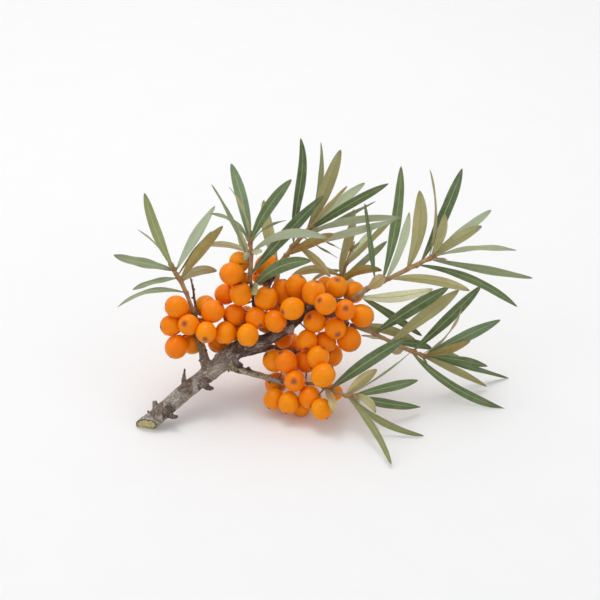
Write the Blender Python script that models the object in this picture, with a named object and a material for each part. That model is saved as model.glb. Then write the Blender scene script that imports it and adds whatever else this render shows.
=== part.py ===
"""Sea buckthorn sprig: a cut woody branch with side twigs, leafy shoots and bunches of berries.

The sprig lies on a surface at z = 0, with +X to the right and +Y to the back. Its layout is given
as it is seen from the front and above: a column and a row of a 600 x 600 picture, and how far in
millimetres the point lies in front of the picture plane. `sighted` turns that into a real place.
"""

import math
from typing import NamedTuple

import bmesh
import bpy
from mathutils import Matrix, Vector

# Driving dimensions, in metres
MM = 0.001
BERRY_ACROSS = 9.8 * MM
BERRY_LENGTH_RATIO = 1.1
BERRY_ROUNDNESS = 1.03
PICTURE_POINT = 0.45 * MM
EYE_DISTANCE = 0.9
VIEW_TILT = math.radians(30)
LEAF_THICKNESS = 0.8 * MM
NODE_GAP = 0.35 * MM
BERRY_PRESS = 1.1 * MM
SURFACE_PRESS = 0.3 * MM
STALK_RADIUS = 0.9 * MM
STALK_STOPS = 6
SETTLING_ROUNDS = 80

SLAB_SIZE = 0.4

# The picture's middle, and the row where the picture plane meets the surface
MIDDLE_COLUMN = 300
MIDDLE_ROW = 300
SURFACE_ROW = 430
# Where the layout's own zero lies in the finished frame, whose origin is under the middle
LAYOUT_ZERO = Vector((-10.9 * MM, -26.3 * MM, 0))

TWIG_SIDES = 6
STEM_SIDES = 5
FINE_STEPS = 8
BLADE_STATIONS = (0.0, 0.14, 0.36, 0.6, 0.82, 0.94)
BLADE_FOLD = 0.16
BLADE_ROOT_WIDTH = 0.24
# How far a cubic curve's middle follows its two handles
BEZIER_REACH = 0.75
BLADE_FULLNESS = 0.6
BLADE_SHIFT = 1.25
# The real breadth of a blade over the breadth in the layout, where most are seen aslant
BLADE_BREADTH = 1.1

ACROSS = Vector((1, 0, 0))
UPWARD = Vector((0, math.sin(VIEW_TILT), math.cos(VIEW_TILT)))
TOWARD = Vector((0, -math.cos(VIEW_TILT), math.sin(VIEW_TILT)))
# The way that the cut face at the foot of the trunk looks, aslant to the trunk
CUT_FACING = (-0.25 * ACROSS - 0.75 * UPWARD + 0.61 * TOWARD).normalized()


class Leaf(NamedTuple):
    """A blade from station `at` of its stem to a tip: its width and bends are in picture points."""

    at: float
    tip: tuple
    out: float
    width: float
    roll: float
    bow: float = 0
    sway: float = 0
    twist: float = 0


class Berry(NamedTuple):
    """A berry whose nose points along `nose` degrees in the picture and `face` degrees out of it."""

    column: float
    row: float
    nose: float
    face: float = 20
    scale: float = 1


# Woody limbs: column, row, millimetres in front of the picture plane, radius in millimetres
LIMBS = {
    "trunk": [
        (146.5, 424.5, 0.3, 3.9), (160, 413.5, 0, 3.9), (172, 403, -2.5, 3.7), (186, 391, -4.5, 3.8),
        (200, 380, -6, 3.7), (213, 370, -7.5, 3.9), (225, 360, -9, 4.3), (238, 349, -10, 4.1),
        (252, 343.5, -10, 3.2), (268, 339, -9, 2.8), (282, 331, -8.5, 2.6), (295, 321, -8, 2.5),
        (307, 309, -8, 2.2), (322, 302, -7, 1.9), (338, 302.5, -5, 1.7), (350, 300.5, -4, 1.5),
    ],
    "left_twig": [
        (211, 373, -7.5, 3.2), (205, 361, -7, 2.4), (202, 348, -6.5, 1.8), (197.5, 335, -6, 1.5),
        (195, 323, -5.5, 1.3), (194, 313.5, -5, 1.1),
    ],
    "bare_twig": [
        (196, 327, -5.8, 0.9), (196, 312, -8, 0.75), (194.3, 298, -9, 0.65), (192.8, 287, -9, 0.6),
        (189.3, 274, -9, 0.35),
    ],
    "centre_limb": [
        (238, 350, -10, 3.4), (247, 336, -9.5, 2.6), (255, 318, -9, 2.1), (260, 303, -9.5, 1.9),
        (267, 286, -12, 1.7), (276.5, 268.7, -13, 1.4),
    ],
    "centre_twig": [(256, 315, -8.5, 1.6), (254.5, 303, -7, 1.3), (253, 291.5, -5, 1.1)],
    "back_twig": [(322, 303, -7.5, 1.5), (330, 297, -11.5, 1.2), (336, 290.5, -14, 0.9)],
    "lower_twig": [
        (316, 304, -7.5, 1.8), (329, 312, -8, 1.5), (341, 320.5, -8.5, 1.3), (349, 324.6, -9, 1.2),
    ],
    "rear_twig": [
        (238, 352, -11, 2.9), (250, 351, -14, 2.2), (264, 348.5, -19, 1.8), (277, 348, -25, 1.5),
        (287, 350, -31, 1.3), (296, 352, -36, 1.0),
    ],
    "bottom_twig": [
        (226, 363, -9.5, 2.6), (236, 368.5, -9.5, 1.9), (248, 372, -9, 1.6), (262, 376, -8, 1.5),
        (278, 381, -8, 1.4), (293, 384, -7, 1.2), (305, 383, -5.3, 0.9),
    ],
    "thorn": [
        (186, 391, -3.5, 2.4), (184.5, 385, -2.5, 1.6), (184, 377.5, -2, 1.0), (184.5, 371, -2, 0.5),
    ],
    "upper_knob": [(158, 414, 1, 2.4), (155.5, 406, 1, 1.5), (154.5, 401, 1, 1.0)],
    "cut_spur": [
        (165, 410, 0, 2.2), (170, 415, 1.5, 1.6), (174.5, 416.8, 2.5, 1.0), (178, 416.2, 3, 0.75),
    ],
    "under_spur": [
        (202, 382, -5, 2.2), (207, 387, -3.5, 1.5), (210.5, 388.3, -3, 1.1), (213.6, 388, -2.5, 0.7),
    ],
    "fork_knob": [(240, 366, -9, 1.7), (238.5, 362, -8, 0.7)],
    "twig_knob": [(249, 372, -9, 1.3), (248.5, 366.5, -9, 0.6)],
    "middle_spur": [(288, 325, -7, 1.6), (286.5, 317, -3, 0.9), (285.8, 311.5, 0.5, 0.5)],
    "middle_knot": [(290, 328, -7, 2.1), (291, 333.5, -4.5, 1.4)],
}
LIMB_SIDES = {"trunk": 10, "left_twig": 8, "centre_limb": 8, "rear_twig": 8, "bottom_twig": 8}


# Young stems, which start where a woody limb ends: column, row, millimetres in front, radius
STEMS = {
    "left_shoot": [
        (193.8, 312.7, -5, 1.0), (189, 300, -4, 1.0), (183, 286, -3, 1.1), (174, 270, -2, 0.8),
    ],
    "centre_shoot": [
        (252.8, 290.6, -4.8, 1.0), (250, 277, -1, 1.0), (251, 260, 2, 1.1), (250, 243, 4, 0.8),
    ],
    "upper_shoot": [
        (277, 267.7, -13, 1.3), (285, 257, -13, 1.2), (297, 242, -12, 1.1), (309, 229, -11, 0.8),
    ],
    "back_shoot": [
        (336.4, 289.6, -14.2, 0.8), (341, 280, -17, 0.8), (345, 268, -18, 0.8), (351, 250, -19, 0.5),
    ],
    "right_upper_shoot": [
        (352.3, 299.3, -3.9, 1.4), (369, 288, -3, 1.3), (392, 277, -2, 1.1), (416, 265, 0, 1.2),
        (433, 257, 2, 0.8),
    ],
    "right_lower_shoot": [
        (350, 325.1, -9.1, 1.1), (371, 332, -11, 1.1), (389, 341, -13, 1.0), (409, 350, -15, 1.1),
        (423, 356, -17, 0.8),
    ],
    "bottom_shoot": [
        (306, 383, -5, 0.8), (318, 385, -2, 0.8), (332, 391, 1, 0.9), (345, 395, 4, 0.9),
        (353, 395.5, 6, 0.7),
    ],
}

LEAVES = {
    "left_shoot": [
        Leaf(1.0, (144.5, 193), -8, 10, 20, bow=3),
        Leaf(0.97, (113.5, 255), 8, 9.5, 25, sway=-2),
        Leaf(0.9, (137.5, 229.5), -16, 8, 80, bow=-4),
        Leaf(0.95, (215, 206), -6, 9.5, -20, bow=1),
        Leaf(0.75, (223, 226), 6, 9.5, 190, bow=2),
        Leaf(0.85, (212, 231), -18, 6, 60, bow=2),
        Leaf(0.7, (217, 271), -12, 9, 170, bow=6),
        Leaf(0.8, (132.5, 290), 4, 7, 40, bow=-2.5),
        Leaf(0.45, (117.5, 307.5), 10, 7, 30, bow=-9, twist=35),
    ],
    "centre_shoot": [
        Leaf(1.0, (231, 163.5), -4, 11, -10, bow=-2.5),
        Leaf(0.98, (229, 187), 9, 7, 72, bow=-5),
        Leaf(0.5, (211.3, 184.3), 10, 7, 62, bow=-3),
        Leaf(0.95, (210, 213.5), -4, 7, 55, bow=-8),
        Leaf(0.7, (239, 228), -14, 7, 200, bow=2),
        Leaf(1.0, (291.7, 179.3), 2, 10.5, 12, bow=4),
        Leaf(0.95, (286.4, 220.4), 9, 6, 75, bow=6),
        Leaf(0.35, (323.7, 195.5), 16, 11, 8, bow=1.5),
        Leaf(0.8, (327.8, 238.6), 22, 9, 25, bow=12),
        Leaf(0.05, (311.3, 260.9), 14, 12, 5, bow=8),
        Leaf(0.1, (258, 291.5), 15, 12, 20),
        Leaf(0.8, (243, 258), 14, 7, 150),
        Leaf(0.85, (262, 252), 12, 6.5, 150),
        Leaf(0.78, (206, 246), -16, 6.5, 150, bow=-5),
    ],
    "upper_shoot": [
        Leaf(0.55, (300.5, 138), -6, 9, 30, bow=-2, sway=6, twist=-35),
        Leaf(0.9, (320.8, 142), -20, 7, 50, bow=-6),
        Leaf(1.0, (340.7, 149.5), 0, 12, 188, bow=-1),
        Leaf(0.97, (347.4, 185.9), 4, 8, 240),
        Leaf(0.95, (365, 182.8), -10, 10, -25, bow=1),
        Leaf(0.9, (388.5, 183.6), -4, 9, 20, bow=2),
        Leaf(0.85, (401.8, 218), 4, 8, 30, bow=6),
        Leaf(0.5, (396, 220), 8, 8, 25),
        Leaf(0.3, (333, 233.5), 10, 9, 190, bow=1),
        Leaf(0.6, (330.4, 277), -8, 8, 200, bow=2),
        Leaf(0.9, (342, 250), -22, 5, 80, bow=1),
        Leaf(0.8, (338, 258), -28, 5, 75),
        Leaf(0.03, (263.6, 200), -20, 11, 185, bow=2),
        Leaf(0.3, (277, 287), -24, 7, 160, bow=-4),
        Leaf(0.7, (375.8, 201.2), -20, 7, 60),
    ],
    "back_shoot": [
        Leaf(0.3, (353.4, 209.4), -12, 9, 200, sway=5),
        Leaf(0.6, (396.7, 213.5), -24, 7, 215),
        Leaf(0.65, (372, 230), -32, 8, -30),
        Leaf(0.25, (387, 241), -10, 8, 35),
        Leaf(0.1, (382, 270.5), -8, 8.5, 190, bow=8),
        Leaf(0.5, (311.5, 281), -24, 6, 230, bow=-4),
        Leaf(0.35, (291, 276.5), -16, 8, 190, bow=-8),
        Leaf(0.4, (357, 287), -30, 8, 150),
    ],
    "right_upper_shoot": [
        Leaf(0.38, (401, 166), -8, 10, 12, bow=-4),
        Leaf(0.42, (409.4, 212), 4, 9, -35, bow=-4),
        Leaf(0.68, (419.4, 190.5), 8, 13, 205, bow=-6, twist=-30),
        Leaf(0.95, (429.8, 169.5), 8, 7, 65, bow=-6),
        Leaf(0.85, (462.3, 168.3), -10, 11, 10, bow=-2),
        Leaf(0.97, (444.7, 213.4), 14, 8.5, 175, bow=-3),
        Leaf(1.0, (491.3, 210), -8, 9.5, 20, bow=1),
        Leaf(0.98, (482, 226), 8, 10, 185, bow=2),
        Leaf(1.0, (516.6, 250.5), -4, 7, 45, bow=6),
        Leaf(0.95, (532.7, 278.2), -2, 8.5, 35),
        Leaf(0.8, (517.4, 306.8), 6, 8.5, 30, bow=8),
        Leaf(0.45, (469.9, 290.7), 10, 9.5, 200, bow=5),
        Leaf(0.05, (433, 289), 4, 10, 165, bow=-4),
        Leaf(0.2, (385, 276), 9, 11, 170),
        Leaf(0.3, (364.6, 203.3), 8, 7.5, 50),
        Leaf(0.08, (422, 336), -20, 8, 20, bow=1),
    ],
    "right_lower_shoot": [
        Leaf(0.32, (449, 287), 4, 12, 8, bow=1),
        Leaf(0.55, (459, 290), -2, 12, 188),
        Leaf(0.85, (481.4, 285.4), -8, 10.5, 8, bow=-1),
        Leaf(0.97, (462.2, 305.7), 0, 7, 70, bow=-7),
        Leaf(1.0, (500.5, 319.8), -12, 10.5, 12),
        Leaf(0.98, (470.5, 340.8), -8, 8.5, 150, bow=-2),
        Leaf(1.0, (461.6, 357.4), -10, 6.5, 60, bow=4),
        Leaf(1.0, (487.7, 366.3), -24, 9, 30, bow=2),
        Leaf(0.95, (508.8, 378.4), -38, 7.5, 50, bow=1),
        Leaf(0.9, (487, 386.7), -28, 8, 215, bow=1),
        Leaf(0.82, (505, 409), -15.5, 9, 5, bow=-8, twist=30),
        Leaf(0.03, (418, 343), -20, 9, 190, bow=5),
        Leaf(0.55, (361, 335.5), -20, 6, 60, bow=-1),
        Leaf(0.75, (392, 352.5), -24, 7, 200),
        Leaf(0.6, (432, 349), -24, 8, 15, bow=3),
    ],
    "bottom_shoot": [
        Leaf(0.5, (406.7, 337.6), 8, 12, 8, bow=2),
        Leaf(0.85, (377, 369.5), 0, 10, 190, bow=1),
        Leaf(0.9, (411.8, 351), -4, 6, 70, bow=-2),
        Leaf(1.0, (418.2, 380.3), -4, 9, 10),
        Leaf(0.97, (420.8, 407), -10, 9.5, -10, bow=-2, twist=60),
        Leaf(0.92, (424, 435.8), 5.5, 8, 35, bow=-7),
        Leaf(0.95, (375.5, 413), 12, 8, 150, bow=6),
        Leaf(0.85, (391.4, 464.5), 27.3, 7.5, 30, bow=5),
        Leaf(0.38, (332, 413), 14, 8, 160, bow=4),
    ],
}

# Each bunch: the limbs and stems it sits on, others that it keeps off, and its berries
BUNCHES = {
    "left_bunch": (
        ("left_twig", "left_shoot"),
        ("bare_twig", "trunk"),
        [
            Berry(205, 306.5, 60, -50), Berry(192, 343, 250, -50), Berry(199, 328, 0, -50),
            Berry(184, 316, 150, -50), Berry(171.5, 325.5, 190), Berry(177, 307, 165, 10, 1.03),
            Berry(176.7, 346.5, 240, 10, 1.07), Berry(213, 311.5, 40, 20, 1.04),
            Berry(206.5, 332, 265, 50, 0.95),
            Berry(188.7, 324.7, 160, 70, 0.98),
        ],
    ),
    "top_bunch": (
        ("centre_twig", "centre_shoot", "centre_limb"),
        (),
        [
            Berry(239.5, 262, 110, -80, 0.95), Berry(262, 275, 60, -50), Berry(238, 280, 150, -50),
            Berry(225.4, 294, 200, -50), Berry(266.8, 265.8, 35, 10, 1.08),
            Berry(241, 294, 95, 25, 1.03),
            Berry(231.8, 273.8, 180, 10, 1.04),
        ],
    ),
    "centre_bunch": (
        ("trunk", "centre_limb", "centre_twig", "upper_shoot"),
        ("middle_spur", "middle_knot"),
        [
            Berry(279, 305, 30, -50), Berry(246, 317, 120, -50), Berry(233, 330, 200, -50),
            Berry(266, 322, 300, -50), Berry(284, 297, 60, -50), Berry(296.3, 286, 60, 20, 1.0),
            Berry(282.5, 291.5, 80, 10, 1.08), Berry(292.5, 308.4, 200, 30, 1.04),
            Berry(217.7, 342, 240),
            Berry(226, 332.5, 265, 10, 1.0), Berry(248.3, 334.6, 265, 10, 1.0),
            Berry(275.3, 321, 320, 10, 1.0),
            Berry(266, 298.8, 75, 20, 1.06), Berry(256.3, 318, 300, 40, 1.0),
            Berry(234.6, 315, 205, 35, 1.04),
        ],
    ),
    "right_bunch": (
        ("trunk", "lower_twig", "back_twig", "right_upper_shoot", "right_lower_shoot"),
        ("back_shoot",),
        [
            Berry(325, 285.5, 80, -40, 0.8), Berry(353.7, 292.5, 40, -50), Berry(320, 313, 120, -50),
            Berry(340, 314, 20, -50), Berry(306, 297, 120, -50), Berry(332, 355.6, 260),
            Berry(325, 342.9, 300, 20), Berry(348.6, 339, 300, 10, 1.12),
            Berry(313.5, 292.5, 70, 20, 1.05),
            Berry(337, 287.4, 90, 50, 1.0), Berry(361.4, 315.5, 340, 10, 1.08),
            Berry(325.4, 304, 150, 50, 1.0),
            Berry(345.2, 310, 80, 80, 0.97), Berry(335.2, 328.2, 290, 55, 1.0),
            Berry(314.8, 321.6, 140, 50, 1.0),
            Berry(307.2, 340.3, 265, 40, 0.98),
        ],
    ),
    "rear_bunch": (
        ("rear_twig",),
        ("trunk",),
        [
            Berry(283, 338.5, 120, 50, 0.94), Berry(291, 362, 260, -80), Berry(306, 361, 300, 10),
            Berry(302, 347, 80, -20), Berry(290, 343, 120, -50), Berry(279, 357, 200, 10),
        ],
    ),
    "bottom_bunch": (
        ("bottom_twig", "bottom_shoot"),
        ("twig_knob", "trunk"),
        [
            Berry(276, 383.5, 200, -50), Berry(274, 361, 140), Berry(318, 357, 60),
            Berry(334, 392.5, 340, -50, 0.8),
            Berry(301.4, 406, 265, -20, 0.9), Berry(321.8, 408.6, 300, 10, 0.95),
            Berry(274, 399, 240, 10, 0.95),
            Berry(306.5, 361.4, 90, 10, 1.0), Berry(286, 361.4, 120, 25, 1.05),
            Berry(322.9, 374.8, 40, 10, 1.08),
            Berry(288.7, 402.2, 255, 10, 0.97), Berry(309.7, 397.3, 290, 40, 1.03),
            Berry(295, 381, 180, 85, 1.0),
        ],
    ),
}

# The nodes that touch the surface and are cut level there
LYING = ("right_lower_shoot", "bottom_shoot", "rear_bunch", "bottom_bunch")

COLOURS = {
    "bark": (0.17, 0.13, 0.10, 0.85),
    "leaf": (0.27, 0.34, 0.20, 0.6),
    "berry": (0.95, 0.33, 0.01, 0.3),
}


def sighted(column, row, out_mm):
    """The real place of a point seen at that column and row, so far in front of the plane."""
    out = out_mm * MM
    reach = PICTURE_POINT * (1 - out / EYE_DISTANCE)
    middle_height = (SURFACE_ROW - MIDDLE_ROW) * PICTURE_POINT
    return (
        LAYOUT_ZERO
        + ACROSS * (column - MIDDLE_COLUMN) * reach
        + UPWARD * (middle_height + (MIDDLE_ROW - row) * reach)
        + TOWARD * out
    )


def between(a, b, c, d, t):
    """The Catmull-Rom curve from b to c."""
    bend = (2 * a - 5 * b + 4 * c - d) * t * t + (3 * b - a - 3 * c + d) * t**3
    return b + ((c - a) * t + bend) / 2


def smooth_route(rows, steps):
    """Points and radii of a smooth curve through the rows of a limb or stem."""
    places = [sighted(*row[:3]) for row in rows]
    radii = [row[3] * MM for row in rows]
    places = [2 * places[0] - places[1], *places, 2 * places[-1] - places[-2]]
    radii = [radii[0], *radii, radii[-1]]
    route, thickness = [], []
    for i in range(1, len(places) - 2):
        for step in range(steps):
            t = step / steps
            route.append(between(*places[i - 1 : i + 3], t))
            thickness.append(between(*radii[i - 1 : i + 3], t))
    return route + [places[-2]], thickness + [radii[-2]]


def directions(route):
    """The unit tangent at each point of a route."""
    last = len(route) - 1
    return [(route[min(i + 1, last)] - route[max(i - 1, 0)]).normalized() for i in range(last + 1)]


def tube(rows, sides, steps=1):
    """The mesh of a tapered, closed tube along a limb or stem."""
    route, radii = smooth_route(rows, steps)
    tangents = directions(route)
    side = tangents[0].cross(TOWARD).normalized()
    points, faces = [], []
    for place, tangent, radius in zip(route, tangents, radii):
        side = (side - tangent * side.dot(tangent)).normalized()
        other = tangent.cross(side)
        for k in range(sides):
            angle = 2 * math.pi * k / sides
            points.append(place + radius * (math.cos(angle) * side + math.sin(angle) * other))
    for ring in range(len(route) - 1):
        for k in range(sides):
            a, b = ring * sides + k, ring * sides + (k + 1) % sides
            faces.append((a, b, b + sides, a + sides))
    faces.append(tuple(range(sides))[::-1])
    faces.append(tuple(range(len(points) - sides, len(points))))
    return points, faces


def slanting_foot(points, sides, rows):
    """The points of a tube with its first ring slid along it into the plane of the cut face."""
    foot = sighted(*rows[0][:3])
    way = (sighted(*rows[1][:3]) - foot).normalized()
    slope = way / way.dot(CUT_FACING)
    return [p - slope * (p - foot).dot(CUT_FACING) for p in points[:sides]] + points[sides:]


def place_at(rows, station):
    """The point of a stem at a share of its length."""
    route, _ = smooth_route(rows, FINE_STEPS)
    steps = [(b - a).length for a, b in zip(route, route[1:])]
    left = station * sum(steps)
    for start, end, step in zip(route, route[1:], steps):
        if left <= step:
            return start.lerp(end, left / step)
        left -= step
    return route[-1]


def blade_outline(t):
    """A narrow leaf's half width at a share of its length, as a share of the widest."""
    return max(math.sin(math.pi * t**BLADE_SHIFT) ** BLADE_FULLNESS, 0 if t else BLADE_ROOT_WIDTH)


def blade(rows, leaf):
    """The mesh of one leaf: a thin, folded blade whose root lies inside its stem."""
    root, tip = place_at(rows, leaf.at), sighted(*leaf.tip, leaf.out)
    chord = tip - root
    aside = TOWARD.cross(chord).normalized()
    bow, sway = (aside * bend * PICTURE_POINT / BEZIER_REACH for bend in (leaf.bow, leaf.sway))
    first, second = root + chord / 3 + bow + sway, root + chord * 2 / 3 + bow - sway
    points, faces = [], []
    for t in BLADE_STATIONS:
        u = 1 - t
        place = u**3 * root + 3 * u * u * t * first + 3 * u * t * t * second + t**3 * tip
        slope = u * u * (first - root) + 2 * u * t * (second - first) + t * t * (tip - second)
        tangent = slope.normalized()
        facing = (TOWARD - tangent * TOWARD.dot(tangent)).normalized()
        facing = Matrix.Rotation(math.radians(leaf.roll + leaf.twist * t), 3, tangent) @ facing
        half = leaf.width * BLADE_BREADTH * PICTURE_POINT / 2 * blade_outline(t)
        thick = LEAF_THICKNESS / 2
        edge, lift = tangent.cross(facing) * half, facing * half * BLADE_FOLD
        points += [place + edge + lift, place + facing * thick, place - edge + lift, place - facing * thick]
    for ring in range(len(BLADE_STATIONS) - 1):
        left, top, right, under = (ring * 4 + k for k in range(4))
        for a, b in ((left, top), (left, under), (right, top), (right, under)):
            band = [(a, b, b + 4), (a, b + 4, a + 4)]
            turned = (a, b) in ((left, top), (right, under))
            faces += [f[::-1] for f in band] if turned else band
    last = 4 * (len(BLADE_STATIONS) - 1)
    points.append(tip)
    for k in range(4):
        faces.append((last + (k + 1) % 4, last + k, last + 4))
    faces += [(0, 1, 3), (1, 2, 3)]
    return points, faces


def wood_chain(names):
    """Points and radii along the named limbs and stems, which berries are kept clear of."""
    chain = []
    for name in names:
        chain += zip(*smooth_route(LIMBS.get(name) or STEMS[name], FINE_STEPS))
    return chain


def settled_depths(places, radii, bunches, chains):
    """Moves berries straight to or from the eye until none sinks into wood or another bunch."""
    for _ in range(SETTLING_ROUNDS):
        for i, place in enumerate(places):
            for wood, thick in chains[bunches[i]]:
                places[i] = place = place + TOWARD * clearing(place, wood, radii[i] + thick + NODE_GAP)
            for j in range(i):
                slack = NODE_GAP if bunches[i] != bunches[j] else -BERRY_PRESS
                push = clearing(place, places[j], radii[i] + radii[j] + slack) / 2
                places[i] = place = place + TOWARD * push
                places[j] = places[j] - TOWARD * push
            sunk = radii[i] - SURFACE_PRESS - place.z
            places[i] = place + TOWARD * (max(sunk, 0) / TOWARD.z)
    return places


def clearing(place, other, reach):
    """How far a point has to move towards the eye, or from it, to be that far from the other."""
    away = place - other
    depth = away.dot(TOWARD)
    spare = reach * reach - away.length_squared
    if spare <= 0:
        return 0
    needed = math.sqrt(spare + depth * depth)
    return needed - depth if depth >= 0 else -needed - depth


def nose_direction(berry):
    """The way that the free end of a berry points."""
    nose, face = math.radians(berry.nose), math.radians(berry.face)
    return (ACROSS * math.cos(nose) + UPWARD * math.sin(nose)) * math.cos(face) + TOWARD * math.sin(face)


def berry_mesh(berry, place):
    """The mesh of one berry: a sphere drawn out along its nose."""
    bm = bmesh.new()
    bmesh.ops.create_icosphere(bm, subdivisions=2, radius=BERRY_ACROSS / 2 * berry.scale)
    turn = nose_direction(berry).to_track_quat("Z", "Y").to_matrix().to_4x4()
    stretch = Matrix.Diagonal((1, 1, BERRY_LENGTH_RATIO, 1))
    bm.transform(Matrix.Translation(place) @ turn @ stretch)
    points = [v.co.copy() for v in bm.verts]
    faces = [tuple(v.index for v in f.verts) for f in bm.faces]
    bm.free()
    return points, faces


def stalk(start, end):
    """The mesh of a short stalk between the middles of two berries."""
    side = (end - start).orthogonal().normalized()
    other = (end - start).normalized().cross(side)
    points = []
    for middle in (start, end):
        for k in range(STEM_SIDES):
            angle = 2 * math.pi * k / STEM_SIDES
            points.append(middle + STALK_RADIUS * (math.cos(angle) * side + math.sin(angle) * other))
    faces = [tuple(range(STEM_SIDES))[::-1], tuple(range(STEM_SIDES, 2 * STEM_SIDES))]
    for k in range(STEM_SIDES):
        after = (k + 1) % STEM_SIDES
        faces.append((k, after, after + STEM_SIDES, k + STEM_SIDES))
    return points, faces


def clear_line(start, end, chain):
    """Whether a stalk between two berries would keep off the wood."""
    stops = [start.lerp(end, k / STALK_STOPS) for k in range(1, STALK_STOPS)]
    spare = STALK_RADIUS + NODE_GAP
    return all((stop - wood).length > thick + spare for stop in stops for wood, thick in chain)


def stalks(places, radii, chain):
    """The stalks that join a bunch's berries wherever they don't already press on each other."""
    joined, left, shapes = [0], list(range(1, len(places))), []
    while left:
        pairs = [(i, j) for i in joined for j in left if clear_line(places[i], places[j], chain)]
        i, j = min(pairs, key=lambda pair: (places[pair[0]] - places[pair[1]]).length)
        if (places[i] - places[j]).length > radii[i] + radii[j] - BERRY_PRESS:
            shapes.append(stalk(places[i], places[j]))
        joined.append(j)
        left.remove(j)
    return shapes


def seen_distance(place, wood):
    """How far apart two points look from the front."""
    away = wood - place
    return (away - TOWARD * away.dot(TOWARD)).length


def settle_bunches():
    """Each bunch's berries with their places and radii, and the wood that they keep off."""
    places, radii, bunches, chains = [], [], [], {}
    for name, (twigs, others, berries) in BUNCHES.items():
        chains[name] = wood_chain(twigs + others)
        for berry in berries:
            start = sighted(berry.column, berry.row, 0)
            wood, thick = min(wood_chain(twigs), key=lambda ring: seen_distance(start, ring[0]))
            radius = BERRY_ACROSS / 2 * berry.scale * BERRY_ROUNDNESS
            out = (wood - start).dot(TOWARD) + (radius + thick) * math.sin(math.radians(berry.face))
            places.append(sighted(berry.column, berry.row, out / MM))
            radii.append(radius)
            bunches.append(name)
    places = settled_depths(places, radii, bunches, chains)
    settled = {}
    for name, (_, _, berries) in BUNCHES.items():
        mine = [i for i, bunch in enumerate(bunches) if bunch == name]
        settled[name] = (berries, [places[i] for i in mine], [radii[i] for i in mine], chains[name])
    return settled


def material(name):
    """The Principled material of one of the sprig's colours."""
    red, green, blue, roughness = COLOURS[name]
    made = bpy.data.materials.new(name)
    made.use_nodes = True
    shader = made.node_tree.nodes["Principled BSDF"]
    shader.inputs["Base Color"].default_value = (red, green, blue, 1)
    shader.inputs["Roughness"].default_value = roughness
    made.diffuse_color = (red, green, blue, 1)
    return made


def mesh_object(name, shape):
    """An object with that mesh, its faces turned to point out."""
    points, faces = shape
    mesh = bpy.data.meshes.new(name)
    mesh.from_pydata(points, [], faces)
    bm = bmesh.new()
    bm.from_mesh(mesh)
    bmesh.ops.recalc_face_normals(bm, faces=bm.faces)
    bm.to_mesh(mesh)
    bm.free()
    return bpy.data.objects.new(name, mesh)


def surface_slab():
    """A block whose top is the surface that the sprig lies on."""
    bpy.ops.mesh.primitive_cube_add(size=SLAB_SIZE, location=(0, 0, -SLAB_SIZE / 2))
    slab = bpy.context.object
    slab.name = "surface_slab"
    slab.hide_render = True
    slab.display_type = "WIRE"
    return slab


def largest_body(evaluated):
    """A mesh without the loose scraps that a union can leave."""
    mesh = bpy.data.meshes.new_from_object(evaluated)
    bm = bmesh.new()
    bm.from_mesh(mesh)
    left, bodies = set(bm.verts), []
    while left:
        body, edge = set(), {left.pop()}
        while edge:
            body |= edge
            edge = {e.other_vert(v) for v in edge for e in v.link_edges} - body
        left -= body
        bodies.append(body)
    keep = max(bodies, key=len)
    bmesh.ops.delete(bm, geom=[v for v in bm.verts if v not in keep], context="VERTS")
    bm.to_mesh(mesh)
    bm.free()
    return mesh


def fused(name, shapes, look, slab=None):
    """One object that joins the shapes by a Boolean union, cut level at the surface if it lies on it."""
    body = mesh_object(name, shapes[0])
    bpy.context.scene.collection.objects.link(body)
    pieces = bpy.data.collections.new(name + "_pieces")
    for i, shape in enumerate(shapes[1:]):
        pieces.objects.link(mesh_object(f"{name}_{i}", shape))
    bpy.context.scene.collection.children.link(pieces)
    if pieces.objects:
        join = body.modifiers.new("join", "BOOLEAN")
        join.operation, join.operand_type, join.collection = "UNION", "COLLECTION", pieces
        join.solver = "EXACT"
    if slab:
        trim = body.modifiers.new("trim", "BOOLEAN")
        trim.operation, trim.object, trim.solver = "DIFFERENCE", slab, "EXACT"
    graph = bpy.context.evaluated_depsgraph_get()
    body.data = largest_body(body.evaluated_get(graph))
    body.modifiers.clear()
    for piece in list(pieces.objects):
        bpy.data.objects.remove(piece)
    bpy.data.collections.remove(pieces)
    body.data.materials.clear()
    body.data.materials.append(look)
    return body


def node_shapes():
    """The shapes of each node, the colour that it has, and whether it lies on the surface."""
    wood = [tube(rows, LIMB_SIDES.get(name, TWIG_SIDES)) for name, rows in LIMBS.items()]
    trunk_points, trunk_faces = wood[0]
    wood[0] = (slanting_foot(trunk_points, LIMB_SIDES["trunk"], LIMBS["trunk"]), trunk_faces)
    nodes = {"main_branch": (wood, "bark", True)}
    for name, rows in STEMS.items():
        shapes = [tube(rows, STEM_SIDES, 2), *(blade(rows, leaf) for leaf in LEAVES[name])]
        nodes[name] = (shapes, "leaf", name in LYING)
    for name, (berries, places, radii, chain) in settle_bunches().items():
        shapes = [berry_mesh(berry, place) for berry, place in zip(berries, places)]
        shapes += stalks(places, radii, chain)
        nodes[name] = (shapes, "berry", name in LYING)
    return nodes


def build():
    """Builds every node of the sprig."""
    for old in list(bpy.data.objects):
        bpy.data.objects.remove(old)
    looks = {name: material(name) for name in COLOURS}
    slab = surface_slab()
    for name, (shapes, colour, lies) in node_shapes().items():
        fused(name, shapes, looks[colour], slab if lies else None)


if __name__ == "__main__":
    build()
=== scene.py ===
"""Looks of a cut sprig of sea buckthorn: bark, sawn wood, young stems, leaves and berries.

Wood, stems, leaves and berries are laid out by the same values as the solids that they stand for:
a column and a row of a 600 x 600 picture, and millimetres in front of the picture plane.
"""

import logging
import math
import random
from collections.abc import Callable, Sequence
from dataclasses import dataclass, field
from enum import Enum
from typing import NamedTuple

import bmesh
import bpy
from mathutils import Matrix, Vector, kdtree, noise


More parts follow.
